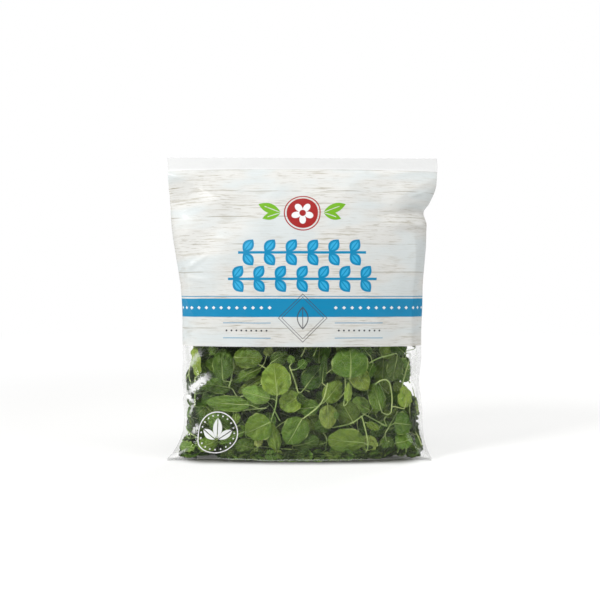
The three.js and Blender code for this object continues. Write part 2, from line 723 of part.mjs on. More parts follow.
// A bent stem with leaves on alternate sides and one at its tip
function drawnSprig(u, height, leafCount) {
  const middle = atHeight(
    u + drawSprig(-SPRIG_SCATTER.u, SPRIG_SCATTER.u),
    height + drawSprig(-SPRIG_SCATTER.height, SPRIG_SCATTER.height),
  );
  const heading = drawSprig(...STEM_HEADING);
  const length = drawSprig(...STEM_LENGTH);
  const bend = drawSprig(-STEM_BEND, STEM_BEND);
  const toChart = tangentAt(middle);
  const angle = THREE.MathUtils.degToRad(heading);
  const along = (distance, aside) => toChart(
    distance * Math.cos(angle) - aside * Math.sin(angle),
    distance * Math.sin(angle) + aside * Math.cos(angle),
  );
  const leaves = [];
  for (let index = 0; index < leafCount; index += 1) {
    const side = index % 2 ? 1 : -1;
    const last = index === leafCount - 1;
    const size = drawSprig(...LEAF_LENGTH);
    const turn = last ? drawSprig(-TIP_TURN, TIP_TURN) : side * drawSprig(...LEAF_TURN);
    const out = last ? 0 : side * (size / 2 + drawSprig(...LEAF_REACH));
    const distance = last ? length / 2 + size / 2 : length * (index / leafCount + BARE_FOOT - 0.5);
    const roundness = drawSprig(...LEAF_ROUNDNESS);
    leaves.push(leafAt(along(distance, out), size, size * roundness, heading + turn));
  }
  return { stem: [along(-length / 2, 0), along(0, bend), along(length / 2, 0)], leaves };
}

function drawnRow({ height, from, to, count, leaves }) {
  return Array.from({ length: count }, (_, index) => {
    const part = count > 1 ? index / (count - 1) : 0;
    return drawnSprig(THREE.MathUtils.lerp(from, to, part), height, leaves);
  });
}

// Assembly

const SPRIGS = [...FRONT_SPRIGS.map(frontSprig), ...SPRIG_ROWS.flatMap(drawnRow)];

// The fin stands out at the back only, so the bag is moved forwards to keep the origin in its middle
const bag = new THREE.Group();
bag.position.y = -FIN_RISE / 2;

const film = new THREE.Mesh(geometryOf(bagFilm()), new THREE.MeshStandardMaterial({
  color: FILM_COLOUR,
  roughness: FILM_ROUGHNESS,
  metalness: 0,
  transparent: true,
  opacity: FILM_OPACITY,
  side: THREE.DoubleSide,
}));
film.name = 'bag_film';
bag.add(film);

SPRIGS.forEach((sprig, index) => {
  const mesh = new THREE.Mesh(geometryOf(sprigSolid(sprig)), new THREE.MeshStandardMaterial({
    color: LEAF_GREENS[index % LEAF_GREENS.length],
    roughness: LEAF_ROUGHNESS,
    metalness: 0,
  }));
  mesh.name = `sprig_${String(index + 1).padStart(2, '0')}`;
  bag.add(mesh);
});

const object = new THREE.Group();
object.add(bag);

export default object;
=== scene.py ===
import math
from dataclasses import dataclass
from functools import cache, reduce

import bpy
import numpy as np
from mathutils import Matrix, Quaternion, Vector


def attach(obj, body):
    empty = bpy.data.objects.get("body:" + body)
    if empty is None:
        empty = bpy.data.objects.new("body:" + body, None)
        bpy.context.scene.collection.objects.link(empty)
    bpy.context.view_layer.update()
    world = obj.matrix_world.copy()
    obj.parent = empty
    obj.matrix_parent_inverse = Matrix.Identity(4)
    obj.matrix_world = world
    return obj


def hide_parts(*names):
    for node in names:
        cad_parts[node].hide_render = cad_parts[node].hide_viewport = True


bl_info = {
    "name": "Bag of watercress",
    "version": (1, 0, 0),
    "blender": (4, 5, 0),
    "location": "View3D > Sidebar > Watercress",
    "description": "A sealed, printed pillow bag of loose watercress, and its studio",
    "category": "Add Mesh",
}

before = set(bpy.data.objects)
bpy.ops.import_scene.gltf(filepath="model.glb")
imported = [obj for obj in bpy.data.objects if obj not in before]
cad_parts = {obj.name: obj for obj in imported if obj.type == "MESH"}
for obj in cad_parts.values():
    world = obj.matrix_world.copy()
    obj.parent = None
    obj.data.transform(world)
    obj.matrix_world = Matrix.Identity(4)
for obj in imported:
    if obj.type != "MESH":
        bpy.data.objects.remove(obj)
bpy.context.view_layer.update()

# Lengths in the tables and functions below are millimetres, as in the part's source
MM = 0.001
FULL_TURN = 2 * math.pi

# Rings of the film, from the bottom seal up: height at the middle and at the side edges,
# half depth, half widths left and right, and the power that makes the section a lens or an ellipse
RINGS = np.array([
    (1.4, 1.4, 0.7, 108.2, 105.4, 2),
    (1.4, 1.5, 12, 108.2, 105.4, 2),
    (0, 2, 19, 108, 105.2, 1.8),
    (0, 2.6, 25, 107.4, 105, 1.6),
    (1.6, 3.6, 29.5, 106.4, 104.4, 1.5),
    (5, 6, 31.5, 104.2, 103.2, 1.3),
    (12, 12, 33, 100.2, 101, 1.15),
    (24, 24, 34.3, 95.6, 98.8, 1.05),
    (38, 38, 34.8, 94.2, 97.8, 1),
    (50, 50, 35, 94, 96.4, 1),
    (62, 62, 35, 95, 94.6, 1),
    (72, 72, 35, 95.6, 95.6, 1),
    (85, 85, 35, 95.2, 96.6, 1),
    (109.5, 109.5, 35, 94.6, 96.4, 1),
    (134, 134, 34.6, 95.8, 96.8, 1.02),
    (156.5, 156.5, 32.8, 98.8, 98.4, 1.08),
    (176, 176, 29, 101, 99.2, 1.15),
    (188, 188, 25.5, 102.4, 99.6, 1.22),
    (197, 197, 22, 103.2, 98.4, 1.28),
    (205, 205, 18.5, 103.8, 102, 1.35),
    (215, 215, 13.5, 104.2, 105.4, 1.5),
    (225.5, 225.5, 7, 104.8, 107.4, 1.8),
    (230.5, 230.5, 3.2, 105.3, 108, 1.9),
    (234, 234, 0.7, 105.6, 108.2, 2),
    (242.5, 242.5, 0.7, 105.8, 107.8, 2),
])
HEIGHT, EDGE, DEPTH, LEFT, RIGHT, LENS = range(6)
HALF_GIRTH = 215
GIRTH = 2 * HALF_GIRTH
EDGE_FLAT = 0.6
FILM = 0.8
SIDE_INSET = 1.4
SIDE_WEDGE = 1.8
EAR_INSET = 5
EAR_HEIGHT = 10
CAVITY = slice(1, 23)
BAG_SHIFT = -0.45

# Film as it is drawn here: thin at the seals, in rows up the film and columns round the girth
SEAL_HALF = 0.3
FILM_ROW = 1.2
PRINT_SAG = 3.2
FILM_COLUMNS = 320
FINE_STEPS = 50
FINE_TURNS = 4001
BODY_RING = 12
CHART_TOP = 260.0
# Rings over which the film comes free of its seals, and how it calms down beside the fin
FREE_RINGS = ((3, 6), (21.2, 22.8))
FIN_CALM = (HALF_GIRTH - 14, HALF_GIRTH - 6)
FIN_CALMING = 0.8
# How far the top seal sinks at its middle, how much more at its right end, and from what height
TOP_SINK = (1.6, 0.4)
SINK_START = 200
# The fin and the flap: size, rows, and where each lies on the chart and how far it reaches there
FIN_WIDTH = 11
FIN_RINGS = (5, 23.7)
FIN_ROWS = 160
FIN_CHART = (0.97, 0.012)
FLAP_HALF_WIDTH = 105.8
FLAP_SHIFT = -1.4
FLAP_DEPTH = 11
FLAP_HEIGHT = 0.75
FLAP_ROWS = 90
FLAP_CHART = (0.02, 0.01)
STRIP_STEPS = 8
STRIP_THICK = 0.35
STRIP_GAP = 0.15
# The vent hole: its radius, and its u and v
VENT_RADIUS = 1.5
VENT_PLACE = (173.6, 206.3)
# How finished pieces, which are in metres, are drawn forward and down at the bottom corners
CORNER_REACH = (0.066, 0.106)
CORNER_RISE = (0.002, 0.03)
CORNER_FORWARD = 0.012
CORNER_SINK = 0.0011
SHARP = math.radians(50)

# Folds of the film: u and v of both ends, height of the ridge and its reach to either side
FOLDS = (
    ((-112, 242), (-40, 196), 2.8, 24),
    ((-108, 214), (-84, 120), 1.5, 14),
    ((108, 236), (70, 208), 1.8, 18),
    ((110, 203), (58, 199), -1.6, 8),
    ((106, 192), (66, 190), 1.3, 7),
    ((86, 60), (92, 186), 1.8, 11),
    ((-90, 84), (-90, 190), 1.1, 14),
    ((-106, 62), (-66, 76), 1.8, 9),
    ((-106, 52), (-76, 44), 1.4, 8),
    ((-108, 60), (-84, 58), -1.6, 7),
    ((-104, 6), (-70, 24), 1.5, 11),
    ((104, 6), (74, 22), 1.5, 11),
    ((-112, 4.2), (112, 4.2), 0.8, 3.5),
    ((40, 232), (22, 190), 1.2, 20),
    ((-12, 236), (-30, 206), 0.9, 16),
    ((-150, 228), (-180, 158), 1.6, 22),
    ((150, 230), (172, 174), 1.6, 22),
    ((-140, 94), (-112, 60), 1.5, 14),
    ((138, 88), (112, 52), 1.5, 14),
    ((-196, 120), (-150, 60), 1.4, 16),
    ((192, 118), (150, 70), 1.4, 16),
    ((-97, 152), (-72, 168), 0.7, 3.5),
    ((-94, 150), (-74, 146), 0.6, 3),
    ((-92, 146), (-80, 124), 0.7, 3.5),
    ((-100, 176), (-84, 154), 0.6, 4),
    ((-96, 134), (-84, 112), 0.6, 3),
    ((76, 224), (92, 206), 0.7, 4),
    ((98, 220), (84, 214), 0.6, 3.5),
)
# Painted highlights along creases of the clear film: u and v of both ends, how wide they are and how
# strongly they are painted white
CREASE_HIGHLIGHTS = (
    ((-72, 73), (-101, 54), 4.0, 1.2),
    ((-101, 56), (-88, 49), 2.4, 0.9),
    ((-88, 50), (-96, 38), 2.0, 0.5),
    ((-103, 62), (-107, 46), 2.6, 0.6),
    ((-80, 92), (-98, 74), 3.6, 0.4),
    ((-84, 32), (-92, 24), 3.0, 0.7),
    ((83, 97), (94, 58), 1.8, 0.8),
    ((88, 94), (98, 62), 2.8, 0.5),
    ((97, 60), (102, 30), 3.0, 0.4),
    ((-112, 4.6), (112, 4.4), 0.8, 0.22),
    ((-112, 4), (-88, 14), 2.4, 0.4),
    ((110, 3), (90, 14), 3.5, 0.4),
    ((104, 20), (106, 4), 4.0, 0.35),
)
# Where folds and creases rise and die away, as shares of their lines
FOLD_START, FOLD_END = (-0.15, 0.2), (0.7, 1.1)
FOLD_CURVE = 1.6
CREASE_START, CREASE_END = (-0.05, 0.35), (0.55, 1.05)
CREASE_RAGGED = 2.6
WAVE_SEED = 19
WAVES = 14
WAVES_ROUND = (3, 16)
WAVES_UP = 0.14
WAVE_HEIGHT = 0.13

# Print of the front. The frieze: height of each row's stem, how far its leaves are shifted and
# how far it reaches to either side
FRIEZE = ((168.4, 8.25, 49.5), (147.8, 0.0, 57.8))
FRIEZE_PITCH = 16.5
FRIEZE_TILT = 52
# Length and width of leaves of the print
FRIEZE_LEAF, FRIEZE_INNER = (12.4, 8.6), (8.8, 4.8)
LOZENGE_LEAF, LOZENGE_INNER = (18, 9), (15.2, 7.4)
FLOWER_HEIGHT = 200.3
FLOWER_RIM = 14.2
FLOWER_DISC = 12.5
PETALS = 5
# Leaves in pairs: the way each points, and its length
GREEN_LEAVES = ((22, 19.0), (-20, 15.0))
GREEN_FOOT = 17.0
SPROUT_LEAVES = ((90, 17.0), (35, 14.0), (145, 14.0))
# Bands and rules: lowest and highest place
BANDS = ((118.1, 132.5), (133.9, 134.5))
RULES = ((113.2, 113.7), (101.4, 101.9))
RULE_MIDDLE = 43.8
RULE_HALF = 19.0
BEAD_HEIGHT = 107.5
DOT_HEIGHT = 125.3
DOT_MARGIN = 22.6
# The thin-lined lozenge: its height, and reach and half width of its lines
LOZENGE_HEIGHT = 117.3
LOZENGE_LINES = ((18.8, 0.35), (16.2, 0.3))
# The sprout: u and v of its middle, and radius of its ring and of its row of dots
SPROUT_PLACE = (-68.0, 26.0)
SPROUT_RING = 16.6
SPROUT_DOTS = 14.0

# Foliage: blade, petiole and stem, and the layers in which they lie against the film
BLADE = 0.8
BROAD_BASE = 0.14
STEM_HALF = 0.8
PETIOLE_STEP = 9
HEEL = 2
CELL = 2
LAYER_GAP = 1.2
EDGE_MARGIN = 1
SAMPLE_STEP = 1.5
LIFTED_MIDDLE = 26
DEEPEST = 0.82
CUP = 1.7
SLOPES = (-0.36, -0.24, -0.12, 0, 0.12, 0.24, 0.36)
FIXED_PASSES = 12
CHART_START = 4

# Sprigs behind the clear front of the bag, the outermost first. Each leaf is the x and height of
# its middle, its length, its width, the way it points and how pale it is
FRONT_SPRIGS = (
    (False, ((-19.4, 60), (-19.4, 48), (-23, 38)),
     ((-20, 69, 26, 24, 97, 0.72), (-36, 56, 23, 14, 165, 0.8), (-34, 30, 22, 22, 205, 0.5))),
    (False, ((36, 70), (37, 60), (34, 48)),
     ((39, 82, 25, 30, 90, 0.5), (48, 68, 20, 17, 300, 0.55), (38, 58, 15, 7, 80, 1.0))),
    (True, ((48, 39), (50.5, 30), (52.8, 22), (53, 12)),
     ((36, 18, 30, 23, 170, 0.5), (55, 14, 15, 14, 80, 0.6), (58, 30, 12, 6, -28, 0.7))),
    (True, ((21, 66), (18, 50), (2, 38)),
     ((26, 58, 20, 16, 48, 0.66), (-5, 27, 24, 21, 240, 0.45), (22, 38, 18, 15, 270, 0.6),
      (18, 78, 24, 6, 85, 0.2))),
    (True, ((60, 63), (66, 70), (72, 66), (73, 53), (72, 42)),
     ((62, 53, 21, 15, 100, 0.4), (84, 52, 17, 15, 82, 0.78))),
    (False, ((-57, 62), (-56, 74), (-54, 88)),
     ((-42, 86, 23, 17, 2, 0.35), (-63, 80, 25, 18, 95, 0.25), (-72, 90, 9, 8, 120, 0.6))),
    (False, ((-71, 42), (-54, 41), (-28, 45)),
     ((-59, 48, 36, 13, 178, 0.5), (-53, 36, 9, 7, 270, 0.6))),
    (False, ((-9, 79), (-6, 70), (-2.5, 59)),
     ((-8, 85, 7, 6, 95, 0.7), (1, 81, 8, 7, 40, 0.5), (10, 70, 21, 18, 50, 0.25))),
    (True, ((-47, 89), (-38, 83), (-29, 78)),
     ((-45, 71, 28, 9, 207, 0.5), (-17, 86, 15, 12, 30, 0.2), (-26, 91, 9, 8, 70, 0.6))),
    (False, ((-2, 58), (3, 52), (14, 47)),
     ((-9, 50, 19, 18, 215, 0.72), (5, 45, 20, 13, 188, 0.45))),
    (False, ((64, 9), (72, 25), (80, 40)),
     ((84, 30, 20, 19, 350, 0.45), (84, 15, 17, 15, 10, 0.5), (70, 13, 12, 11, 280, 0.35))),
    (True, ((-50, 53), (-40, 57), (-31, 65)),
     ((-43, 62, 25, 8, 212, 0.6), (-70, 61, 23, 12, 170, 0.35), (-24, 58, 14, 11, 300, 0.5))),
    (False, ((-40, 8), (-20, 8), (0, 7)),
     ((-22, 21, 26, 11, 100, 0.6), (-34, 17, 10, 7, 80, 0.9), (-45, 12, 18, 14, 155, 0.35),
      (4, 16, 22, 15, 20, 0.2))),
    (True, ((26, 29), (39, 31), (50, 38)),
     ((39, 40, 20, 20, 120, 0.3), (50, 46, 15, 13, 150, 0.75), (18, 30, 14, 14, 190, 0.35))),
    (True, ((55, 81), (64, 85), (74, 88)),
     ((76, 75, 21, 14, 260, 0.15), (57, 73, 14, 12, 250, 0.4), (52, 91, 12, 10, 130, 0.3))),
    (False, ((-48, 30), (-60, 27), (-70, 19)),
     ((-56, 20, 21, 9, 205, 0.55), (-69, 30, 20, 17, 150, 0.4), (-76, 12, 17, 14, 200, 0.5))),
    (True, ((50, 40), (59, 35), (68, 30)),
     ((62, 44, 14, 11, 60, 0.5), (64, 22, 16, 14, 250, 0.3), (77, 40, 14, 12, 40, 0.4))),
    (True, ((-86, 44), (-86, 56), (-85, 68)),
     ((-86, 81, 25, 12, 92, 0.85), (-80, 36, 15, 12, 300, 0.4), (-76, 57, 12, 10, 20, 0.35))),
    (False, ((20, 8), (22, 17), (16, 26)),
     ((9, 12, 18, 14, 190, 0.3), (30, 8, 16, 12, 10, 0.4), (10, 33, 15, 14, 130, 0.45))),
    (True, ((83, 58), (86, 72), (88, 86)),
     ((88, 68, 14, 11, 330, 0.4), (80, 92, 16, 13, 140, 0.2))),
    (True, ((-66, 10), (-76, 11), (-84, 14)),
     ((-93, 10, 18, 9, 185, 0.6), (-84, 24, 15, 12, 100, 0.5))),
)

# Sprigs elsewhere in the bag: rows at a height, spread evenly over a stretch of the girth, with
# the number of sprigs in the row and of leaves on each
SPRIG_ROWS = (
    (116, -84, 84, 4, 3),
    (150, -62, 62, 3, 3),
    (84, 108, 108, 1, 4),
    (76, -108, -108, 1, 4),
    (132, -126, 126, 2, 3),
    (26, 142, 288, 5, 4),
    (68, 136, 294, 5, 4),
    (112, 160, 270, 3, 3),
)
SPRIG_SEED = 41
RELIEF_SEED = 7
TONE_SEED = 23
SPRIG_SHIFT = 5
SPRIG_LIFT = 6
STEM_LENGTH = (34, 52)
STEM_BEND = 9
STEM_HEADING = (20, 160)
LEAF_LENGTH = (15, 27)
LEAF_ROUNDNESS = (0.7, 0.98)
LEAF_TONE = (0.15, 0.75)
# Where the leaves of a sprig start along its stem, how far out they sit and how they turn
LEAF_START = 0.3
LEAF_OUT = (3, 7)
TIP_TURN = 20
SIDE_TURN = (45, 80)

# Fine leaves: rows and columns of a blade, its real thickness, and the relief of its face
BLADE_ROWS = 18
BLADE_COLUMNS = 12
BLADE_THICK = 0.32
NEAREST = 0.3
RIM_WAVE = 0.7
SWELL = 0.45
SCALLOP = 0.03
RIB_GROOVE = 0.3
RIB_WIDTH = 0.9
# The drawn midrib: its start, its end on dark and on pale leaves, and where leaves count as pale
RIB_START = -0.98
RIB_ENDS = (-0.1, 0.75)
PALE_TONE = 0.4
RIB_POINTS = 12
# How far a fine leaf of the usual size rolls, folds and hooks, and the waves of its outline, of
# its rim and of its face
USUAL_SIZE = 20
LEAF_ROLL = (-0.6, 2.6)
LEAF_FOLD = (-1.2, 1.6)
LEAF_HOOK = (-0.4, 3.0)
LEAF_LOBES = (2.2, 4.2)
RIM_WAVES = (2.5, 5.0)
SWELL_LENGTHS = (7, 13)
# Stalks: radius at the start, and the share of it that is left at the end
STEM_DRAWN = (0.56, 0.85)
PETIOLE_DRAWN = (0.38, 0.8)
RIB_DRAWN = (PETIOLE_DRAWN[0] * 0.6, 0.25)
SPRIG_SIDES = 8
# Petioles: how hard they are drawn along an end of the stem, along its side and to the leaf
PETIOLE_POINTS = 14
ENTRY = 9
END_PULL = 1.6
SIDE_PULL = 0.6
CHORD_PULL = 0.5

# Loose stalks between the sprigs and the pile of loose leaves
STALK_SEED = 5
STALKS = 90
STALK_HALF = 0.5
STALK_TAPER = 0.7
STALK_SIDES = 6
STALK_LENGTH = (20, 52)
STALK_HEIGHT = (14, 140)
STALK_BEND = 7
# Stalks that show in the side edges of the window: x and height of their places
EDGE_STALKS = (
    ((-91, 46), (-88, 40), (-83, 30)),
    ((-94, 26), (-90, 22), (-84, 20)),
    ((-98, 12), (-92, 9), (-84, 8)),
    ((-95, 18), (-90, 13), (-84, 12)),
    ((90, 46), (93, 30), (97, 12)),
    ((86, 24), (93, 18), (99, 8)),
)

# The pile of loose leaves: cells that are free or taken, and the passes in which leaves are
# offered, as share of the tries, shortest and longest leaf, lowest and highest place
PILE_SEED = 83
SHEET_SEED = 29
PILE_TRIES = 9000
PILE_CELL = 2.0
PILE_CORNER = np.array([-112.0, -40.0, 0.0])
PILE_CELLS = (112, 40, 60)
PILE_TOP = 156
PILE_WALL = 0.8
WALL_STEP = 0.8
FLAT_BASE = slice(22, 90)
BASE_INSET = 1.5
PILE_STEP = 1.5
LOOSE_THICK = 0.1
LOOSE_GRID = (7, 4)
# Room in which the leaves of the pile are offered, how they face outwards and how pale they are:
# random tones, held darker than those of the sprigs as painted shade inside the bag
PILE_SPAN = 108
PILE_DEPTH = 34
PILE_AWAY = (0.3, 1.3)
PILE_SHADED_TONE = 0.75
PILE_SHADED_TONE_CURVE = 1.3
SHEET_SHADED_TONE = 0.55
PILE_PASSES = (
    (0.16, 17, 25, 14, 112),
    (0.28, 11, 18, 4, 112),
    (0.28, 6, 12, 2, 104),
    (0.28, 6, 13, 2, 26),
)
# Ways in which leaves are pushed till they touch something, the low ones mostly downwards
PILE_WAYS = np.array([
    (0, -1, 0), (0, -1, 0), (0, -1, 0), (0, -1, -1), (0, 1, 0), (0, 1, 0), (-1, 0, 0), (1, 0, 0)])
FOOT_WAYS = np.array([
    (0, 0, -1), (0, -1, -1), (0, -1, 0), (0, -1, -1), (0, 1, -1), (-1, -1, -1), (1, -1, -1)])
FOOT = 24
# Relief of the leaves, as a share of their length, and the share of the pile that faces one way
PILE_RELIEF = (0.06, 0.24)
SHEET_RELIEF = (0.06, 0.16)
FACING_OUT = 0.7
# Sheets of leaves: two across the middle of the bag, two on its base, one at each side edge and
# rows of small ones along its foot
SHEET_STEP = 12.5
SHEET_LENGTHS = ((17, 22), (9, 13), (5, 7))
SHEET_SHIFT = 2
SHEET_TILT = 0.4
CORE_DEPTH = 5
CORE_HEIGHTS = (10, 108)
CORE_SPAN = (-96, 97)
BASE_HEIGHTS = (8, 11)
BASE_DEPTHS = (-20, 22)
BASE_SPAN = (-94, 95)
SIDE_PLACE = 88
SIDE_FOOT = 14
SIDE_TOPS = (70, 54)
SIDE_DEPTHS = (-16, -4, 8, 20)
FOOT_STEP = 7
FOOT_SPAN = 99
FOOT_SHIFT = 2.5
FOOT_DEPTH = -22
FOOT_ROWS = (14, 11, 8, 6)
FOOT_LENGTHS = ((9, 13), (6, 8), (4, 5))
# Narrow leaves in the corners of the foot and up the side edges
CORNER_HEIGHTS = (4.5, 7, 10, 14, 19, 24, 29, 34, 39, 44, 49, 54)
CORNER_SPAN = (85, 103)
CORNER_STEP = 2.5
CORNER_WIDTH = 0.45
# The sides of the bag stay empty above its foot: height, and how far leaves reach to each side
SIDE_LIMITS = np.array([
    (0, -112, 112), (40, -112, 104), (50, -112, 92), (58, -95, 85), (70, -86, 84),
    (112, -86, 84)], float)

SLOTS = ("leaf_mid", "leaf_dark", "leaf_light")


def seeded_draw(seed):
    """A function that draws the next number between two limits, the same in every run."""
    state = seed

    def draw(low, high):
        nonlocal state
        state = (state * 1664525 + 1013904223) % 2 ** 32
        return low + (high - low) * state / 2 ** 32

    return draw


def smoothstep(value, low, high):
    part = np.clip((value - low) / (high - low), 0, 1)
    return part * part * (3 - 2 * part)


def hermite(start, end, leave, enter, t):
    """A curve from start to end, with the slopes at which it leaves and enters."""
    return (
        start * (1 + 2 * t) * (1 - t) ** 2 + leave * t * (1 - t) ** 2
        + end * t * t * (3 - 2 * t) - enter * t * t * (1 - t)
    )


def rotated(x, y, turn):
    """The place x, y turned about the origin by an angle in radians."""
    cos, sin = math.cos(turn), math.sin(turn)
    return x * cos - y * sin, x * sin + y * cos


def beside_line(start, end, u, v):
    """How far along a line a place is, as a share of it, and how far to its side."""
    along = np.subtract(end, start).tolist()
    length = math.hypot(*along)
    du, dv = u - start[0], v - start[1]
    part = (du * along[0] + dv * along[1]) / length ** 2
    return part, abs(du * along[1] - dv * along[0]) / length


def running(steps):
    """How far along a line each of its places is, from the steps between them."""
    return np.concatenate([np.zeros_like(steps[..., :1]), np.cumsum(steps, axis=-1)], axis=-1)


def along_line(line):
    """How far along a flat line each of its places is."""
    return running(np.hypot(*np.diff(line, axis=0).T))


def unrolled(surface):
    """u of each point of a set of rings: its way round the girth from the front middle."""
    around = running(np.linalg.norm(np.diff(surface, axis=1), axis=-1))
    front = around[:, around.shape[1] // 2, None]
    half = np.where(around <= front, front, around[:, -1:] - front)
    return HALF_GIRTH * (around - front) / half


def wrapped(u):
    """The same way round the girth, between the two ends of the chart."""
    return u - GIRTH * np.floor((u + HALF_GIRTH) / GIRTH)


def monotone(table, index):
    """Rows of a table at indexes between its own, on smooth curves that never overshoot it."""
    step = np.diff(table, axis=0)
    slope = np.zeros_like(table)
    same_way = step[1:] * step[:-1] > 0
    total = np.where(same_way, step[1:] + step[:-1], 1)
    slope[1:-1] = np.where(same_way, 2 * step[1:] * step[:-1] / total, 0)
    slope[0] = step[0]
    slope[-1] = step[-1]
    low = np.clip(np.floor(index).astype(int), 0, len(table) - 2)
    t = (np.asarray(index) - low)[:, None]
    return hermite(table[low], table[low + 1], slope[low], slope[low + 1], t)


def ring_points(rings, turn):
    """Points of each ring at each turn, from the front middle towards +X and round the back."""
    side, front = np.sin(turn), np.cos(turn)
    ring = [rings[:, name][:, None] for name in range(6)]
    width = np.where(side > 0, ring[RIGHT], ring[LEFT])
    to_edge = smoothstep(np.abs(side), EDGE_FLAT, 1)
    return np.stack([
        width * side,
        -ring[DEPTH] * np.sign(front) * np.abs(front) ** ring[LENS],
        ring[HEIGHT] + (ring[EDGE] - ring[HEIGHT]) * to_edge,
    ], axis=-1)


# Chart of the inside of the film

def cavity_rings():
    rings = RINGS.copy()
    for index in range(*CAVITY.indices(len(RINGS))):
        ring, below, above = RINGS[index], RINGS[index - 1], RINGS[index + 1]
        along = np.array([above[DEPTH] - below[DEPTH], above[HEIGHT] - below[HEIGHT]])
        along /= np.hypot(*along)
        inset = max(
            EAR_INSET if ring[EDGE] < EAR_HEIGHT else SIDE_INSET * FILM,
            FILM * ring[LEFT] / (SIDE_WEDGE * ring[DEPTH]),
        )
        rings[index] += (
            FILM * along[0], FILM * along[0], -FILM * along[1], -inset, -inset, 0)
    return rings[CAVITY]


class Chart:
    """The inside of the film unrolled: u runs round the girth, v up the film and depth inwards."""

    def __init__(self, rings, heights, columns):
        turn = np.linspace(-math.pi, math.pi, columns + 1)
        self.heights = heights
        surface = ring_points(rings, turn)
        width = np.where(surface[..., 0] > 0, rings[:, RIGHT, None], rings[:, LEFT, None])
        middle = np.stack([
            surface[..., 0] * (1 - (rings[:, DEPTH, None] / width) ** 2),
            np.zeros_like(width),
            np.maximum(surface[..., 2], LIFTED_MIDDLE),
        ], axis=-1)
        self.table = np.concatenate([surface, middle], axis=-1)
        self.girth = unrolled(surface)

    def on_row(self, row, u):
        points = np.empty((len(u), 6))
        for index in np.unique(row):
            here = row == index
            for axis in range(6):
                points[here, axis] = np.interp(
                    u[here], self.girth[index], self.table[index, :, axis])
        return points

    def surface_and_middle(self, u, v):
        u, v = np.atleast_1d(np.asarray(u, float)), np.atleast_1d(np.asarray(v, float))
        turn = wrapped(u)
        row = np.searchsorted(self.heights, v, side="right") - 1
        row = np.clip(row, 0, len(self.heights) - 2)
        part = (v - self.heights[row]) / (self.heights[row + 1] - self.heights[row])
        both = self.on_row(row, turn) * (1 - part)[:, None]
        both += self.on_row(row + 1, turn) * part[:, None]
        return both[:, :3], both[:, 3:]

    def point(self, u, v, depth):
        surface, middle = self.surface_and_middle(u, v)
        room = np.linalg.norm(middle - surface, axis=1)
        return surface + (middle - surface) * (np.asarray(depth) / room)[:, None]

    def room(self, u, v):
        surface, middle = self.surface_and_middle(u, v)
        return np.linalg.norm(middle - surface, axis=1)

    def tangent(self, u, v):
        """A function from millimetres right and up, on the film at a place, to the chart."""
        reach = 2
        near = self.surface_and_middle(
            [u + reach, u - reach, u, u], [v, v, v + reach, v - reach])[0]
        right = (near[0] - near[1]) / (2 * reach)
        up = (near[2] - near[3]) / (2 * reach)
        span = np.linalg.norm(right)
        lean = up @ right / span
        rise = math.sqrt(up @ up - lean ** 2)

        def to_chart(to_right, upwards):
            dv = upwards / rise
            return u + (to_right - lean * dv) / span, v + dv

        return to_chart


CAVITY_RINGS = cavity_rings()
CAVITY_HEIGHTS = along_line(CAVITY_RINGS[:, [DEPTH, HEIGHT]])
LAYOUT = Chart(CAVITY_RINGS, CAVITY_HEIGHTS, 32)

FINE_INDEX = np.linspace(0, len(CAVITY_RINGS) - 1, 6 * (len(CAVITY_RINGS) - 1) + 1)
CHART = Chart(
    monotone(CAVITY_RINGS, FINE_INDEX),
    np.interp(FINE_INDEX, range(len(CAVITY_RINGS)), CAVITY_HEIGHTS),
    160,
)


def on_front(x, height):
    """Place of the chart at a given x and height of the front of the bag."""
    u, v = float(x), height + CAVITY_HEIGHTS[CHART_START]
    for _ in range(FIXED_PASSES):
        surface = LAYOUT.surface_and_middle(u, v)[0][0]
        u += x - surface[0]
        v += height - surface[2]
    return u, v


def at_height(u, height):
    """Place of the chart at a height, at a given way round the girth."""
    v = height + CAVITY_HEIGHTS[CHART_START]
    for _ in range(FIXED_PASSES):
        v += height - LAYOUT.surface_and_middle(u, v)[0][0][2]
    return u, v


# Packing: foliage lies in layers against the film, each piece behind what was laid before it

class Field:
    """How deep the foliage laid so far reaches, cell by cell of the chart."""

    columns = GIRTH // CELL
    rows = math.ceil(CAVITY_HEIGHTS[-1] / CELL)

    def __init__(self, cells=None):
        self.cells = np.zeros(self.columns * self.rows) if cells is None else cells

    def copy(self):
        return Field(self.cells.copy())

    def cell(self, u, v):
        column = np.floor((wrapped(u) + HALF_GIRTH) / CELL).astype(int) % self.columns
        row = np.clip(np.floor(v / CELL).astype(int), 0, self.rows - 1)
        return row * self.columns + column

    def depth(self, u, v):
        return self.cells[self.cell(u, v)]

    def mark(self, u, v, depth):
        np.maximum.at(self.cells, self.cell(u, v), depth)


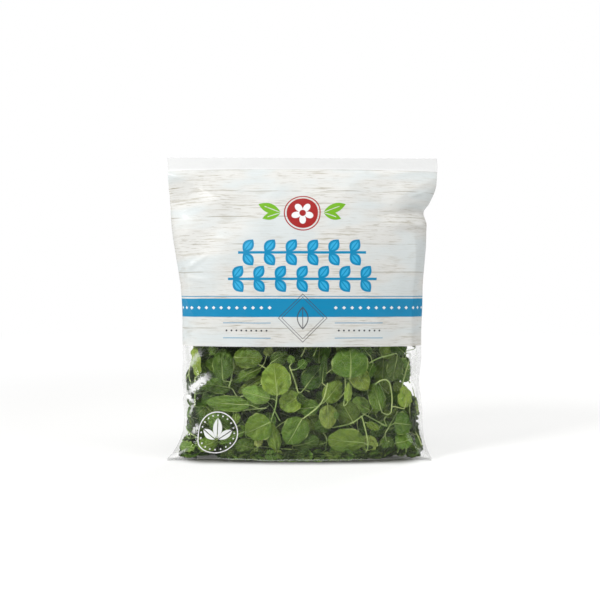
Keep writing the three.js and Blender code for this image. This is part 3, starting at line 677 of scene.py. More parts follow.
@dataclass
class Leaf:
    """A leaf on the chart: the middle of its blade, its size, its heading and how it lies."""

    u: float
    v: float
    length: float
    width: float
    heading: float
    cup: float
    tone: float
    depth: float = 0
    slope_along: float = 0
    slope_across: float = 0

    def place(self, along, across):
        """Place of the chart at millimetres along and across the blade."""
        u, v = LAYOUT.tangent(self.u, self.v)(
            *rotated(along, across, math.radians(self.heading)))
        spread = (2 * along / self.length) ** 2 + (2 * across / self.width) ** 2
        depth = (
            self.depth + self.slope_along * along + self.slope_across * across
            + self.cup * spread
        )
        return u, v, depth

    def samples(self):
        half_length = self.length / 2 + EDGE_MARGIN
        half_width = self.width / 2 * (1 + BROAD_BASE) + EDGE_MARGIN
        steps = math.ceil(half_length / SAMPLE_STEP)
        along, across = [], []
        for row in range(-steps, steps + 1):
            reach = half_width * math.sqrt(1 - (row / steps) ** 2)
            rungs = math.ceil(reach / SAMPLE_STEP) + 1
            across.extend(np.arange(-rungs, rungs + 1) * reach / rungs)
            along.extend([row * half_length / steps] * (2 * rungs + 1))
        return np.array(along), np.array(across)

    def lay(self, field):
        """Lays the leaf behind what is there, and returns False where there is no more room."""
        self.depth = self.slope_along = self.slope_across = 0
        along, across = self.samples()
        u, v, level = self.place(along, across)
        needs = field.depth(u, v) + LAYER_GAP - level
        best = math.inf
        for slope_along in SLOPES:
            for slope_across in SLOPES:
                depth = (needs - slope_along * along - slope_across * across).max()
                if depth < best:
                    best = depth
                    self.slope_along, self.slope_across = slope_along, slope_across
        self.depth = best
        depth = self.place(along, across)[2]
        fits = bool((depth + BLADE < DEEPEST * LAYOUT.room(u, v)).all())
        if fits:
            field.mark(u, v, depth + BLADE)
        return fits


def cut_corners(line):
    """The places along a line of control points, with its corners cut."""
    low, high = line[:-1], line[1:]
    cuts = np.stack([low * 0.75 + high * 0.25, low * 0.25 + high * 0.75], axis=1)
    return np.concatenate([line[:1], cuts.reshape(-1, line.shape[1]), line[-1:]])


def smooth_path(places, count=30, passes=24):
    """Evenly spaced places along a line of places, with its bends rounded."""
    along = along_line(places[:, :2])
    share = np.linspace(0, along[-1], count)
    line = np.stack([np.interp(share, along, places[:, axis]) for axis in range(3)], axis=-1)
    for _ in range(passes):
        line[1:-1] = line[1:-1] / 2 + (line[2:] + line[:-2]) / 4
    return line


def segment_samples(start, end, reach):
    along = (end - start)[:2]
    length = math.hypot(*along) or 1
    steps = math.ceil(length) + 1
    part = np.repeat(np.arange(steps + 1) / steps, 3)
    side = np.tile([-reach, 0, reach], steps + 1) / length
    u = start[0] + along[0] * part - side * along[1]
    v = start[1] + along[1] * part + side * along[0]
    return part, u, v


def clear_depths(places, half, field):
    """Depth that each place of a stem needs to pass behind the foliage in a field."""
    needs = np.full(len(places), half + LAYER_GAP)
    for index in range(len(places) - 1):
        _, u, v = segment_samples(places[index], places[index + 1], half + EDGE_MARGIN)
        need = field.depth(u, v).max() + LAYER_GAP + half
        needs[index:index + 2] = np.maximum(needs[index:index + 2], need)
    return needs


def mark_stem(places, half, field):
    for start, end in zip(places, places[1:]):
        part, u, v = segment_samples(start, end, half + EDGE_MARGIN)
        field.mark(u, v, start[2] + (end[2] - start[2]) * part + half)


def lay_stem(stem, field):
    stem[:, 2] = clear_depths(stem, STEM_HALF, field)
    mark_stem(stem, STEM_HALF, field)


def petiole_places(leaf, stem, field, field_before):
    """Petiole from the nearest place of the stem to the heel of a leaf, and on to its foot."""
    heel = np.array(leaf.place(-leaf.length / 2 - HEEL, 0))
    foot = np.array(leaf.place(-leaf.length / 2, 0))
    heel[2] += BLADE / 2
    distance = np.hypot(*(stem - heel)[:, :2].T)
    start = stem[distance.argmin()]
    if distance.min() < HEEL:
        return np.array([start, foot])
    steps = max(1, round(distance.min() / PETIOLE_STEP))
    part = (np.arange(steps + 1) / steps)[:, None]
    places = start * (1 - part) + heel * part
    needs = clear_depths(places, BLADE / 2, field)
    needs[-1] = clear_depths(np.array([heel, foot]), BLADE / 2, field_before)[0]
    places[1:, 2] = np.maximum(places[1:, 2], needs[1:])
    return np.concatenate([places, foot[None]])


@dataclass
class Sprig:
    """A stem on the chart, with its leaves and their petioles."""

    stem_first: bool
    stem: np.ndarray
    leaves: list
    petioles: list

    def lay(self, field):
        before = field.copy()
        if self.stem_first:
            lay_stem(self.stem, field)
        self.leaves = [leaf for leaf in self.leaves if leaf.lay(field)]
        if not self.stem_first:
            lay_stem(self.stem, field)
        for leaf in self.leaves:
            petiole = petiole_places(leaf, self.stem, field, before)
            mark_stem(petiole, BLADE / 2, field)
            self.petioles.append(petiole)


def sprig_of(stem_first, stem, leaves):
    line = np.array([(*place, 0) for place in stem], float)
    return Sprig(stem_first, cut_corners(line), leaves, [])


def drawn_sprig(u, height, leaf_count, draw, draw_relief, draw_tone):
    """A bent stem with leaves on alternate sides and one at its tip."""
    u += draw(-SPRIG_SHIFT, SPRIG_SHIFT)
    middle = at_height(u, height + draw(-SPRIG_LIFT, SPRIG_LIFT))
    heading = draw(*STEM_HEADING)
    length = draw(*STEM_LENGTH)
    bend = draw(-STEM_BEND, STEM_BEND)
    to_chart = LAYOUT.tangent(*middle)

    def along(distance, aside):
        return to_chart(*rotated(distance, aside, math.radians(heading)))

    leaves = []
    for index in range(leaf_count):
        side = 1 if index % 2 else -1
        last = index == leaf_count - 1
        size = draw(*LEAF_LENGTH)
        turn = draw(-TIP_TURN, TIP_TURN) if last else side * draw(*SIDE_TURN)
        out = 0 if last else side * (size / 2 + draw(*LEAF_OUT))
        distance = (
            length / 2 + size / 2 if last else length * (index / leaf_count - LEAF_START))
        width = size * draw(*LEAF_ROUNDNESS)
        leaves.append(Leaf(
            *along(distance, out), size, width, heading + turn,
            draw_relief(-CUP, CUP), draw_tone(*LEAF_TONE)))
    return sprig_of(False, [along(-length / 2, 0), along(0, bend), along(length / 2, 0)], leaves)


def all_sprigs():
    draw, draw_relief, draw_tone = map(seeded_draw, (SPRIG_SEED, RELIEF_SEED, TONE_SEED))
    sprigs = []
    for stem_first, stem, leaves in FRONT_SPRIGS:
        stem_places = [on_front(*place) for place in stem]
        sprigs.append(sprig_of(stem_first, stem_places, [
            Leaf(*on_front(x, height), length, width, heading, draw_relief(-CUP, CUP), tone)
            for x, height, length, width, heading, tone in leaves]))
    for height, start, end, count, leaf_count in SPRIG_ROWS:
        for index in range(count):
            u = start + (end - start) * (index / (count - 1) if count > 1 else 0)
            sprigs.append(drawn_sprig(u, height, leaf_count, draw, draw_relief, draw_tone))
    return sprigs


def loose_stalks(field):
    draw = seeded_draw(STALK_SEED)
    lines = [[(*on_front(*place), 0) for place in stalk] for stalk in EDGE_STALKS]
    for _ in range(STALKS):
        to_chart = LAYOUT.tangent(draw(-HALF_GIRTH, HALF_GIRTH), draw(*STALK_HEIGHT))
        angle, length = draw(0, math.pi), draw(*STALK_LENGTH)
        bend = draw(-STALK_BEND, STALK_BEND)
        lines.append([
            (*to_chart(*rotated(along, aside, angle)), 0)
            for along, aside in ((-length / 2, 0), (0, bend), (length / 2, 0))])
    stalks = []
    for line in lines:
        stalk = cut_corners(np.array(line))
        stalk[:, 2] = clear_depths(stalk, STALK_HALF, field)
        if (stalk[:, 2] + STALK_HALF < DEEPEST * LAYOUT.room(stalk[:, 0], stalk[:, 1])).all():
            mark_stem(stalk, STALK_HALF, field)
            stalks.append(stalk)
    return stalks


# Forms of a loose leaf: depth of its relief, from 0 to 1, along and across a unit blade
LEAF_FORMS = (
    lambda along, across: 0.3 * along ** 2 + 0.6 * across ** 2 + 0.1 * smoothstep(along, 0, 1),
    lambda along, across: 0.75 * np.abs(across) ** 1.4 + 0.25 * smoothstep(along, -0.6, 1),
    lambda along, across: (
        0.45 + 0.3 * np.sin(2.6 * along + 0.6) * (1 - 0.4 * across ** 2) + 0.25 * across * along),
)


@dataclass
class PileLeaf:
    """A loose leaf: its middle in the bag, how it is turned, its size, relief, form and tone."""

    place: np.ndarray
    turn: object
    size: np.ndarray
    form: int
    look: tuple

    def points(self):
        turn = np.array(self.turn.to_matrix())
        return self.place + (PILE_SAMPLES[self.form] * self.size) @ turn.T


def unit_blade(form, share, across_share, side=0.0):
    """Points of a leaf of unit length and width, with a relief of unit depth."""
    across = across_share * 0.5 * np.sqrt(1 - share ** 2) * (1 - BROAD_BASE * share)
    relief = LEAF_FORMS[form](share, across_share) - 0.5 + LOOSE_THICK * side
    return np.stack([share / 2, across, relief], axis=-1)


PILE_SAMPLES = [
    unit_blade(form, *(axis.ravel() for axis in np.meshgrid(
        np.linspace(-0.97, 0.97, 13), np.linspace(-0.95, 0.95, 9))))
    for form in range(len(LEAF_FORMS))]


class Pile:
    """The cells of the bag that are still free."""

    def __init__(self):
        u, v = (axis.ravel() for axis in np.meshgrid(
            np.arange(-HALF_GIRTH, HALF_GIRTH, WALL_STEP), np.arange(0, PILE_TOP, WALL_STEP)))
        surface = CHART.surface_and_middle(u, v)[0]
        columns = np.floor((surface - PILE_CORNER) / PILE_CELL).astype(int)
        kept = (columns[:, 0] >= 0) & (columns[:, 0] < PILE_CELLS[0])
        kept &= (columns[:, 2] >= 0) & (columns[:, 2] < PILE_CELLS[2])
        front = np.full((PILE_CELLS[0], PILE_CELLS[2]), -np.inf)
        back = -front
        in_front = np.abs(u) < HALF_GIRTH / 2
        for wall, take, here in (
                (front, np.maximum, kept & in_front), (back, np.minimum, kept & ~in_front)):
            take.at(wall, (columns[here, 0], columns[here, 2]), surface[here, 1])
        # the lowest layer, where the flap under the base would hide the room in front of it
        front[FLAT_BASE, 1] = front[FLAT_BASE, 2] + BASE_INSET
        back[FLAT_BASE, 1] = back[FLAT_BASE, 2] - BASE_INSET
        x, y, z = (
            PILE_CORNER[axis] + (np.arange(PILE_CELLS[axis]) + 0.5) * PILE_CELL
            for axis in range(3))
        y = y[None, :, None]
        left, right = (np.interp(z, SIDE_LIMITS[:, 0], SIDE_LIMITS[:, side]) for side in (1, 2))
        within = (x[:, None] > left) & (x[:, None] < right)
        within &= np.isfinite(front) & np.isfinite(back)
        self.bag = (
            within[:, None] & (y > front[:, None] + PILE_WALL) & (y < back[:, None] - PILE_WALL))
        self.free = self.bag.copy()

    def cells(self, points):
        return np.floor((points - PILE_CORNER) / PILE_CELL).astype(int)

    def take(self, points):
        cells = self.cells(points)
        inside = ((cells >= 0) & (cells < self.free.shape)).all(axis=1)
        self.free[tuple(cells[inside].T)] = False

    def within(self, points, room):
        """Whether all the points lie in cells of a room: the whole bag, or what is free of it."""
        cells = self.cells(points)
        inside = ((cells >= 0) & (cells < room.shape)).all()
        return bool(inside and room[tuple(cells.T)].all())

    def settle(self, leaf, way):
        """Pushes a leaf as far as it goes, and takes its cells. False if it fits nowhere."""
        points = leaf.points()
        if not self.within(points, self.free):
            return False
        moved = np.zeros(3)
        while self.within(points + moved + way, self.free):
            moved = moved + way
        leaf.place = leaf.place + moved
        self.take(points + moved)
        return True


def sprig_cells(pile, sprigs, stalks):
    """Takes the cells of the foliage that is packed against the film."""
    for sprig in sprigs:
        for leaf in sprig.leaves:
            pile.take(CHART.point(*leaf.place(*leaf.samples())) + (0, BLADE / 2, 0))
    lines = [sprig.stem for sprig in sprigs] + stalks
    lines += [petiole for sprig in sprigs for petiole in sprig.petioles]
    for line in lines:
        pile.take(CHART.point(*smooth_path(line).T))


def leaf_turn(facing, draw):
    """How a leaf is turned that faces one way and points anywhere."""
    return facing.to_track_quat("Z", "Y") @ Quaternion((0, 0, 1), draw(0, FULL_TURN))


def pile_leaves(pile, tries):
    draw = seeded_draw(PILE_SEED)
    leaves = []
    for share, shortest, longest, low, high in PILE_PASSES:
        for _ in range(round(share * tries)):
            place = np.array([
                draw(-PILE_SPAN, PILE_SPAN), draw(-PILE_DEPTH, PILE_DEPTH), draw(low, high)])
            right, away, side, up = draw(-1, 1), draw(*PILE_AWAY), draw(0, 1), draw(-1, 1)
            turn = leaf_turn(Vector((right, away if side < FACING_OUT else -away, up)), draw)
            length = draw(shortest, longest)
            size = np.array([1, draw(*LEAF_ROUNDNESS), draw(*PILE_RELIEF)]) * length
            # tone at random, mostly dark: painted shade of the leaves inside the bag
            leaf = PileLeaf(
                place, turn, size, int(draw(0, len(LEAF_FORMS))),
                (draw(0, PILE_SHADED_TONE) ** PILE_SHADED_TONE_CURVE, draw(0, 1), draw(0, 1)))
            ways = FOOT_WAYS if place[2] < FOOT else PILE_WAYS
            if pile.settle(leaf, ways[int(draw(0, len(ways)))] * PILE_STEP):
                leaves.append(leaf)
    return leaves


def sheet_places():
    """Places of the leaves that line the bag, each with the way it faces, the ways in which it
    is pushed, the lengths that it may have and how narrow it is."""
    for sheet, side in enumerate((-1, 1)):
        # the second sheet starts half a step further on
        shift = np.array([sheet * SHEET_STEP / 2, 0])
        for height in np.arange(*CORE_HEIGHTS + shift, SHEET_STEP):
            for x in np.arange(*CORE_SPAN + shift, SHEET_STEP):
                yield (x, CORE_DEPTH * side, height), (0, 1, 0), (), SHEET_LENGTHS, 1
        for y in np.arange(*BASE_DEPTHS + shift, SHEET_STEP):
            for x in np.arange(*BASE_SPAN + shift, SHEET_STEP):
                place = x, y, BASE_HEIGHTS[sheet]
                yield place, (0, 0.2, -1), ((0, 0, -1),), SHEET_LENGTHS, 1
        for height in np.arange(*(SIDE_FOOT, SIDE_TOPS[sheet]) + shift, SHEET_STEP / 2):
            for y in SIDE_DEPTHS:
                place = SIDE_PLACE * side, y, height
                yield place, (side, -0.4, 0), ((side, 0, 0),), SHEET_LENGTHS, 1
    for row, height in enumerate(FOOT_ROWS):
        for x in np.arange(-FOOT_SPAN + row * FOOT_SHIFT, FOOT_SPAN, FOOT_STEP):
            ways = (0, 0, -1), (0, -1, 0)
            yield (x, FOOT_DEPTH, height), (0, -1, -0.3 - row * 0.3), ways, FOOT_LENGTHS, 1
    for side in (-1, 1):
        for ways in (((side, 0, 0), (0, 0, -1)), ()):
            for height in CORNER_HEIGHTS:
                for x in np.arange(*CORNER_SPAN, CORNER_STEP):
                    facing = (0.3 * side, -1, 0.1)
                    yield (side * x, -1, height), facing, ways, FOOT_LENGTHS, CORNER_WIDTH


def sheet_leaves(pile):
    """Leaves that close the view through the bag, line its foot and fill it to its side edges."""
    draw = seeded_draw(SHEET_SEED)
    leaves = []
    for place, facing, ways, lengths, narrow in sheet_places():
        place = np.array(place) + [draw(-SHEET_SHIFT, SHEET_SHIFT) for _ in range(3)]
        facing = Vector(facing) + Vector([draw(-SHEET_TILT, SHEET_TILT) for _ in range(3)])
        turn = leaf_turn(facing, draw)
        # tone at random, never pale: painted shade of the leaves that line the bag
        form, look = int(draw(0, len(LEAF_FORMS))), (draw(0, SHEET_SHADED_TONE), draw(0, 1), draw(0, 1))
        for limits in lengths:
            size = np.array([1, narrow * draw(*LEAF_ROUNDNESS), draw(*SHEET_RELIEF)])
            leaf = PileLeaf(place, turn, size * draw(*limits), form, look)
            points = leaf.points()
            if not pile.within(points, pile.bag):
                continue
            for way in ways:
                step = np.array(way) * PILE_STEP / 2
                while pile.within(points + step, pile.bag):
                    points = points + step
                    leaf.place = leaf.place + step
            pile.take(points)
            leaves.append(leaf)
            break
    return leaves


@dataclass
class Packing:
    """All the foliage of the bag."""

    sprigs: list
    stalks: list
    leaves: list


@cache
def pack_foliage(tries):
    """Packs the foliage, once for all the operators that draw it."""
    field = Field()
    sprigs = all_sprigs()
    for sprig in sprigs:
        sprig.lay(field)
    stalks = loose_stalks(field)
    pile = Pile()
    sheets = sheet_leaves(pile)
    sprig_cells(pile, sprigs, stalks)
    return Packing(sprigs, stalks, sheets + pile_leaves(pile, tries))


# Node trees

def operator(operation, reflected=False):
    """One of Python's operators on wires, which adds a Math node."""
    def apply(wire, other):
        return wire.tree.math(operation, *((other, wire) if reflected else (wire, other)))

    return apply


class Wire:
    """A socket of a node tree. Python's operators on it add Math nodes."""

    __add__ = __radd__ = operator("ADD")
    __sub__ = operator("SUBTRACT")
    __rsub__ = operator("SUBTRACT", reflected=True)
    __mul__ = __rmul__ = operator("MULTIPLY")
    __truediv__ = operator("DIVIDE")
    __rtruediv__ = operator("DIVIDE", reflected=True)

    def __init__(self, tree, socket):
        self.tree = tree
        self.socket = socket

    def __abs__(self):
        return self.tree.math("ABSOLUTE", self)


class NodeTree:
    """A node tree, and the few calls that add nodes to it."""

    def __init__(self, tree):
        self.tree = tree
        tree.nodes.clear()

    def node(self, kind, settings=None, inputs=None, output=0):
        """Adds a node: its settings first, then the values or links of its sockets."""
        node = self.tree.nodes.new(kind)
        for name, value in (settings or {}).items():
            setattr(node, name, value)
        for name, value in (inputs or {}).items():
            for one in value if isinstance(value, list) else [value]:
                if isinstance(one, Wire):
                    self.tree.links.new(one.socket, node.inputs[name])
                else:
                    node.inputs[name].default_value = one
        return Wire(self, node.outputs[output]) if node.outputs else None

    def output(self, wire, name):
        """Another output of the node that a wire comes from."""
        return Wire(self, wire.socket.node.outputs[name])

    def math(self, operation, first, second=None, third=None, clamp=False):
        values = {i: v for i, v in enumerate((first, second, third)) if v is not None}
        return self.node("ShaderNodeMath", {"operation": operation, "use_clamp": clamp}, values)

    def either(self, first, second):
        return self.math("MAXIMUM", first, second)

    def wrap(self, wire, reach):
        """A value that runs from -reach to reach, over and over."""
        return self.math("WRAP", wire, reach, -reach)

    def length(self, *vector):
        """Length of a vector, or of one of given parts."""
        vector = vector[0] if len(vector) == 1 else self.combine(*vector)
        return self.node("ShaderNodeVectorMath", {"operation": "LENGTH"}, {0: vector}, 1)

    def mix(self, factor, first, second, blend="MIX"):
        return self.node(
            "ShaderNodeMix", {"data_type": "RGBA", "blend_type": blend},
            {0: factor, 6: first, 7: second}, 2)

    def tinted(self, colour, *tint):
        return self.mix(1.0, colour, (*tint, 1), "MULTIPLY")

    def combine(self, x=0.0, y=0.0, z=0.0):
        return self.node("ShaderNodeCombineXYZ", None, {0: x, 1: y, 2: z})

    def split(self, wire):
        node = self.node("ShaderNodeSeparateXYZ", None, {0: wire})
        return [Wire(self, socket) for socket in node.socket.node.outputs]

    def noise(self, vector, scale, detail=2.0, roughness=0.5, distortion=0.0):
        return self.node("ShaderNodeTexNoise", {"noise_dimensions": "3D"}, {
            "Vector": vector, "Scale": scale, "Detail": detail, "Roughness": roughness,
            "Distortion": distortion})

    def between(self, wire, low, high, smooth=True):
        """0 below low and 1 above high, on a smooth curve."""
        return self.node(
            "ShaderNodeMapRange",
            {"interpolation_type": "SMOOTHSTEP" if smooth else "LINEAR"},
            {"Value": wire, "From Min": low, "From Max": high, "To Min": 0.0, "To Max": 1.0})

    def inside(self, wire, soft=0.3):
        """1 where a signed distance in millimetres is positive, with a soft edge."""
        return self.math("MULTIPLY_ADD", wire, 1 / soft, 0.5, clamp=True)

    def line(self, wire, half, soft=0.3):
        """1 along the line on which a distance is 0."""
        return self.inside(half - abs(wire), soft)

    def bump(self, height, strength, distance):
        return self.node("ShaderNodeBump", None, {
            "Strength": strength, "Distance": distance, "Height": height})

    def principled(self, **inputs):
        """A Principled shader. Its sockets are named with _ for each space."""
        return self.node("ShaderNodeBsdfPrincipled", None, {
            name.replace("_", " "): value for name, value in inputs.items()})

    def finish(self, shader):
        self.node("ShaderNodeOutputMaterial", None, {"Surface": shader})


def new_shader(name):
    material = bpy.data.materials.new(name)
    material.use_nodes = True
    return material, NodeTree(material.node_tree)


# Settings

def colour_of(name, description, colour):
    return bpy.props.FloatVectorProperty(
        name=name, description=description, default=colour, subtype="COLOR", min=0, max=1)


def share_of(name, description, share):
    return bpy.props.FloatProperty(
        name=name, description=description, default=share, subtype="FACTOR", min=0, max=1)


def number_of(name, description, number, unit="NONE", low=0):
    return bpy.props.FloatProperty(
        name=name, description=description, default=number, unit=unit, min=low)


class FilmSettings(bpy.types.PropertyGroup):
    """Sizes and inks of the printed film"""

    window_top: number_of(
        "Window top", "Height of the clear window, up the film", 0.0948, "LENGTH")
    seal_band: number_of(
        "Seal band", "Height at which the plain top seal starts, up the film", 0.2414, "LENGTH")
    haze: share_of("Haze", "How milky the clear film looks when seen straight on", 0.003)
    # edge sheen is a painted sheen: white laid over the clear film where it is seen edge on
    edge_sheen: share_of("Edge haze", "How milky the clear film looks when seen edge on", 0.42)
    ink_cover: share_of("Ink cover", "How much of the filling the print hides", 0.95)
    # white is also the colour of the painted sheen and of the painted highlights along creases of
    # the clear film
    white: colour_of(
        "White", "White ink, the plain top seal and the milk of creased film",
        (0.78, 0.785, 0.78))
    wash: colour_of(
        "White wash", "Ground of the print, whitewashed wood", (0.66, 0.658, 0.632))
    grain: colour_of(
        "Wood grain", "Streaks of bare wood in the ground of the print", (0.43, 0.405, 0.335))
    deep_blue: colour_of("Deep blue", "Band and outlines of the print", (0.0, 0.222, 0.425))
    light_blue: colour_of("Light blue", "Inner lines of the blue frieze", (0.03, 0.37, 0.64))
    red: colour_of("Red", "Round seal of the print", (0.33, 0.012, 0.012))
    green: colour_of("Green", "Small leaves beside the round seal", (0.16, 0.40, 0.012))
    dark: colour_of("Dark ink", "Thin dark lines of the print", (0.05, 0.05, 0.06))


class FoliageSettings(bpy.types.PropertyGroup):
    """Colours and amount of the watercress"""

    dark_leaf: colour_of("Dark leaf", "Colour of the darkest leaves", (0.013, 0.037, 0.003))
    mid_leaf: colour_of("Middle leaf", "Colour of most leaves", (0.068, 0.148, 0.011))
    pale_leaf: colour_of("Pale leaf", "Colour of the palest leaves", (0.225, 0.365, 0.066))
    vein: colour_of("Vein", "Colour of the veins and petioles", (0.46, 0.56, 0.18))
    loose_tries: bpy.props.IntProperty(
        name="Loose leaves tried", description="How many loose leaves the bag is offered",
        default=PILE_TRIES, min=0)


class StageSettings(bpy.types.PropertyGroup):
    """Camera and light of the studio"""

    lens: number_of("Lens", "Focal length of the camera, in millimetres", 85, "CAMERA")
    distance: number_of("Distance", "From the camera to the middle of the bag", 1.133, "LENGTH")
    elevation: number_of(
        "Elevation", "Angle of the camera above the horizon", math.radians(5.5), "ROTATION",
        -math.pi / 2)
    aim: bpy.props.FloatVectorProperty(
        name="Aim", description="Point that the camera looks at",
        default=(-0.0008, 0, 0.128), subtype="TRANSLATION")
    backdrop: number_of("Backdrop", "Brightness of the white backdrop in the picture", 1.0)
    ambient: number_of("Ambient", "Brightness of the light from all round", 0.14)
    key: number_of("Key light", "Power of the light high on the left", 18.5, "POWER")
    top: number_of("Top light", "Power of the large light overhead", 7.5, "POWER")
    fill: number_of("Fill light", "Power of the large light on the right", 7, "POWER")
    strip: number_of("Strip light", "Power of the tall narrow light beside the bag", 1.2, "POWER")
    rear: number_of("Rear light", "Power of the light behind the bag", 10, "POWER")


# Meshes

def plain_object(name, points, edges=(), faces=(), vectors=None):
    """An object at the origin from points in millimetres, and vectors kept at its points."""
    mesh = bpy.data.meshes.new(name)
    points = np.asarray(points, float) + (0, BAG_SHIFT, 0)
    mesh.from_pydata((points * MM).tolist(), edges, faces)
    for key, values in (vectors or {}).items():
        layer = mesh.attributes.new(key, "FLOAT_VECTOR", "POINT")
        layer.data.foreach_set("vector", np.asarray(values, np.float32).ravel())
    piece = bpy.data.objects.new(name, mesh)
    bpy.context.scene.collection.objects.link(piece)
    return piece


def smooth(mesh):
    mesh.shade_smooth()
    mesh.set_sharp_from_angle(angle=SHARP)


def surface_object(name, points, faces, chart, vectors=None):
    """A smooth object with a UV map, from the chart at each corner or at each point."""
    piece = plain_object(name, points, (), faces, vectors)
    if len(chart) == len(points):
        chart = chart[np.concatenate(faces)]
    layer = piece.data.uv_layers.new(name="Chart")
    layer.uv.foreach_set("vector", chart.astype(np.float32).ravel())
    smooth(piece.data)
    return piece


def draw_corners_forward(mesh):
    """Draws the bottom corners of the bag forward and down to the line of its front edge."""
    points = np.empty(len(mesh.vertices) * 3, np.float32)
    mesh.vertices.foreach_get("co", points)
    points = points.reshape(-1, 3)
    share = smoothstep(np.abs(points[:, 0]), *CORNER_REACH) * (
        1 - smoothstep(points[:, 2], *CORNER_RISE))
    points[:, 1] -= CORNER_FORWARD * share
    points[:, 2] -= CORNER_SINK * share * np.clip(points[:, 2] / CORNER_RISE[0], 0, 1)
    mesh.vertices.foreach_set("co", points.ravel())
    mesh.update()


def finish_piece(piece, slot, *nodes):
    draw_corners_forward(piece.data)
    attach(piece, "root")
    if nodes:
        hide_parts(*nodes)


# Leaves

def blade_grid(rows, columns):
    """Unit blade: along and across of each point, foot and tip first, and its closed faces.

    Across is a share of the half width at that row, and side is 0 on the outer face, 1 on the inner.
    """
    along, across, side = [-1.0, 1.0], [0.0, 0.0], [0.5, 0.5]
    number = {}
    for row in range(1, rows):
        for column in range(columns + 1):
            rim = column in (0, columns)
            for face in (0, 1):
                if rim and face:
                    number[row, column, 1] = number[row, column, 0]
                    continue
                number[row, column, face] = len(along)
                along.append(-math.cos(math.pi * row / rows))
                across.append(2 * column / columns - 1)
                side.append(0.5 if rim else face)
    faces = []
    for face in (0, 1):
        for column in range(columns):
            ends = [
                (0, number[1, column + 1, face], number[1, column, face]),
                (1, number[rows - 1, column, face], number[rows - 1, column + 1, face]),
            ]
            walls = [
                (number[row, column, face], number[row, column + 1, face],
                 number[row + 1, column + 1, face], number[row + 1, column, face])
                for row in range(1, rows - 1)]
            faces += [tuple(wall) if face else tuple(reversed(wall)) for wall in ends + walls]
    return np.array(along), np.array(across), np.array(side), faces


BLADE_GRID = blade_grid(BLADE_ROWS, BLADE_COLUMNS)


class FineLeaf:
    """A leaf as it is drawn: how its blade rolls, folds, hooks and waves in its place."""

    def __init__(self, leaf, draw):
        self.leaf = leaf
        size = min(leaf.length, leaf.width) / USUAL_SIZE
        self.roll = draw(*LEAF_ROLL) * size
        self.fold = draw(*LEAF_FOLD) * size
        self.hook = draw(*LEAF_HOOK) * size
        self.lobes = [(draw(*LEAF_LOBES), draw(0, FULL_TURN)) for _ in range(2)]
        self.rim = (draw(*RIM_WAVES), draw(0, FULL_TURN))
        self.swell = [
            (FULL_TURN / draw(*SWELL_LENGTHS), draw(0, FULL_TURN)) for _ in range(2)]
        self.look = (leaf.tone, draw(0, 1), draw(0, 1))

    def half_width(self, share, across_share):
        half = self.leaf.width / 2 * np.sqrt(1 - share ** 2) * (1 - BROAD_BASE * share)
        for side, (lobes, start) in zip((-1, 1), self.lobes):
            scallop = 1 + SCALLOP * np.sin(lobes * math.pi * share + start)
            half = np.where(across_share * side > 0, half * scallop, half)
        return half

    def outer(self, share, across_share):
        """Places of the chart on the outer face, and millimetres across the blade."""
        along = share * self.leaf.length / 2
        across = across_share * self.half_width(share, across_share)
        u, v, depth = self.leaf.place(along, across)
        round_off = np.sqrt(1 - share ** 2)
        aside = np.abs(across_share)
        waves, start = self.rim
        (along_wave, along_start), (across_wave, across_start) = self.swell
        depth = depth + (
            self.roll * aside ** 2 * round_off + self.fold * (aside - 0.4) * round_off
            + self.hook * smoothstep(share, 0.1, 1.3)
            + RIM_WAVE * aside ** 3 * np.sin(waves * math.pi * share + start)
            + SWELL * np.sin(along_wave * along + along_start) * np.sin(
                across_wave * across + across_start))
        return u, v, np.maximum(depth, NEAREST), across

    def points(self):
        """Points of the blade in the bag, its chart and its look at each, and its faces."""
        share, across_share, side, faces = BLADE_GRID
        u, v, depth, across = self.outer(share, across_share)
        groove = RIB_GROOVE * (1 - 2 * self.leaf.tone) * np.exp(-(across / RIB_WIDTH) ** 2)
        depth = depth + groove + (BLADE - BLADE_THICK) / 2 + BLADE_THICK * side
        chart = np.stack([share / 2 + 0.5, across / self.leaf.width + 0.5], axis=-1)
        return CHART.point(u, v, depth), chart, np.tile(self.look, (len(share), 1)), faces

    def rib(self):
        """Line of the midrib from the foot towards the tip, half sunk in the outer face."""
        share = np.linspace(RIB_START, RIB_ENDS[self.leaf.tone > PALE_TONE], RIB_POINTS)
        u, v, depth, _ = self.outer(share, np.zeros_like(share))
        return np.stack([u, v, depth + (BLADE - BLADE_THICK) / 2], axis=-1)


def petiole_path(petiole, stem):
    """A petiole as one smooth curve: it leaves along the stem and enters along the leaf."""
    heel, foot = petiole[-2], petiole[-1]
    near = np.hypot(*(stem - petiole[0])[:, :2].T).argmin()
    start, last = stem[near], len(stem) - 1
    chord = foot[:2] - start[:2]
    reach = np.hypot(*chord)
    leave = (stem[min(near + 1, last)] - stem[max(near - 1, 0)])[:2]
    leave = leave / max(np.hypot(*leave), 1e-6)
    if near in (0, last):
        leave = leave * (1 if near else -1) * min(reach, ENTRY) * END_PULL
    else:
        leave = leave * (1 if leave @ chord >= 0 else -1) * reach * SIDE_PULL
        leave = leave + chord * CHORD_PULL
    enter = (foot - heel)[:2]
    enter = enter / max(np.hypot(*enter), 1e-6) * min(reach, ENTRY)
    t = np.linspace(0, 1, PETIOLE_POINTS)[:, None]
    place = hermite(start[:2], foot[:2], leave, enter, t)
    share = along_line(petiole[:, :2])
    depth = np.interp(t[:, 0], share / share[-1], petiole[:, 2])
    depth[0] = start[2]
    return np.concatenate([place, depth[:, None]], axis=1)


STALK_TREE = "Watercress stalks"
PILE_TREE = "Watercress pile"


def new_group(name, inputs):
    """A tree of geometry nodes with named inputs, and the wire of each."""
    group = bpy.data.node_groups.new(name, "GeometryNodeTree")
    group.interface.new_socket(
        "Geometry", in_out="OUTPUT", socket_type="NodeSocketGeometry")
    for label, kind in inputs.items():
        group.interface.new_socket(label, in_out="INPUT", socket_type="NodeSocket" + kind)
    tree = NodeTree(group)
    given = tree.node("NodeGroupInput")
    return group, tree, [tree.output(given, label) for label in inputs]


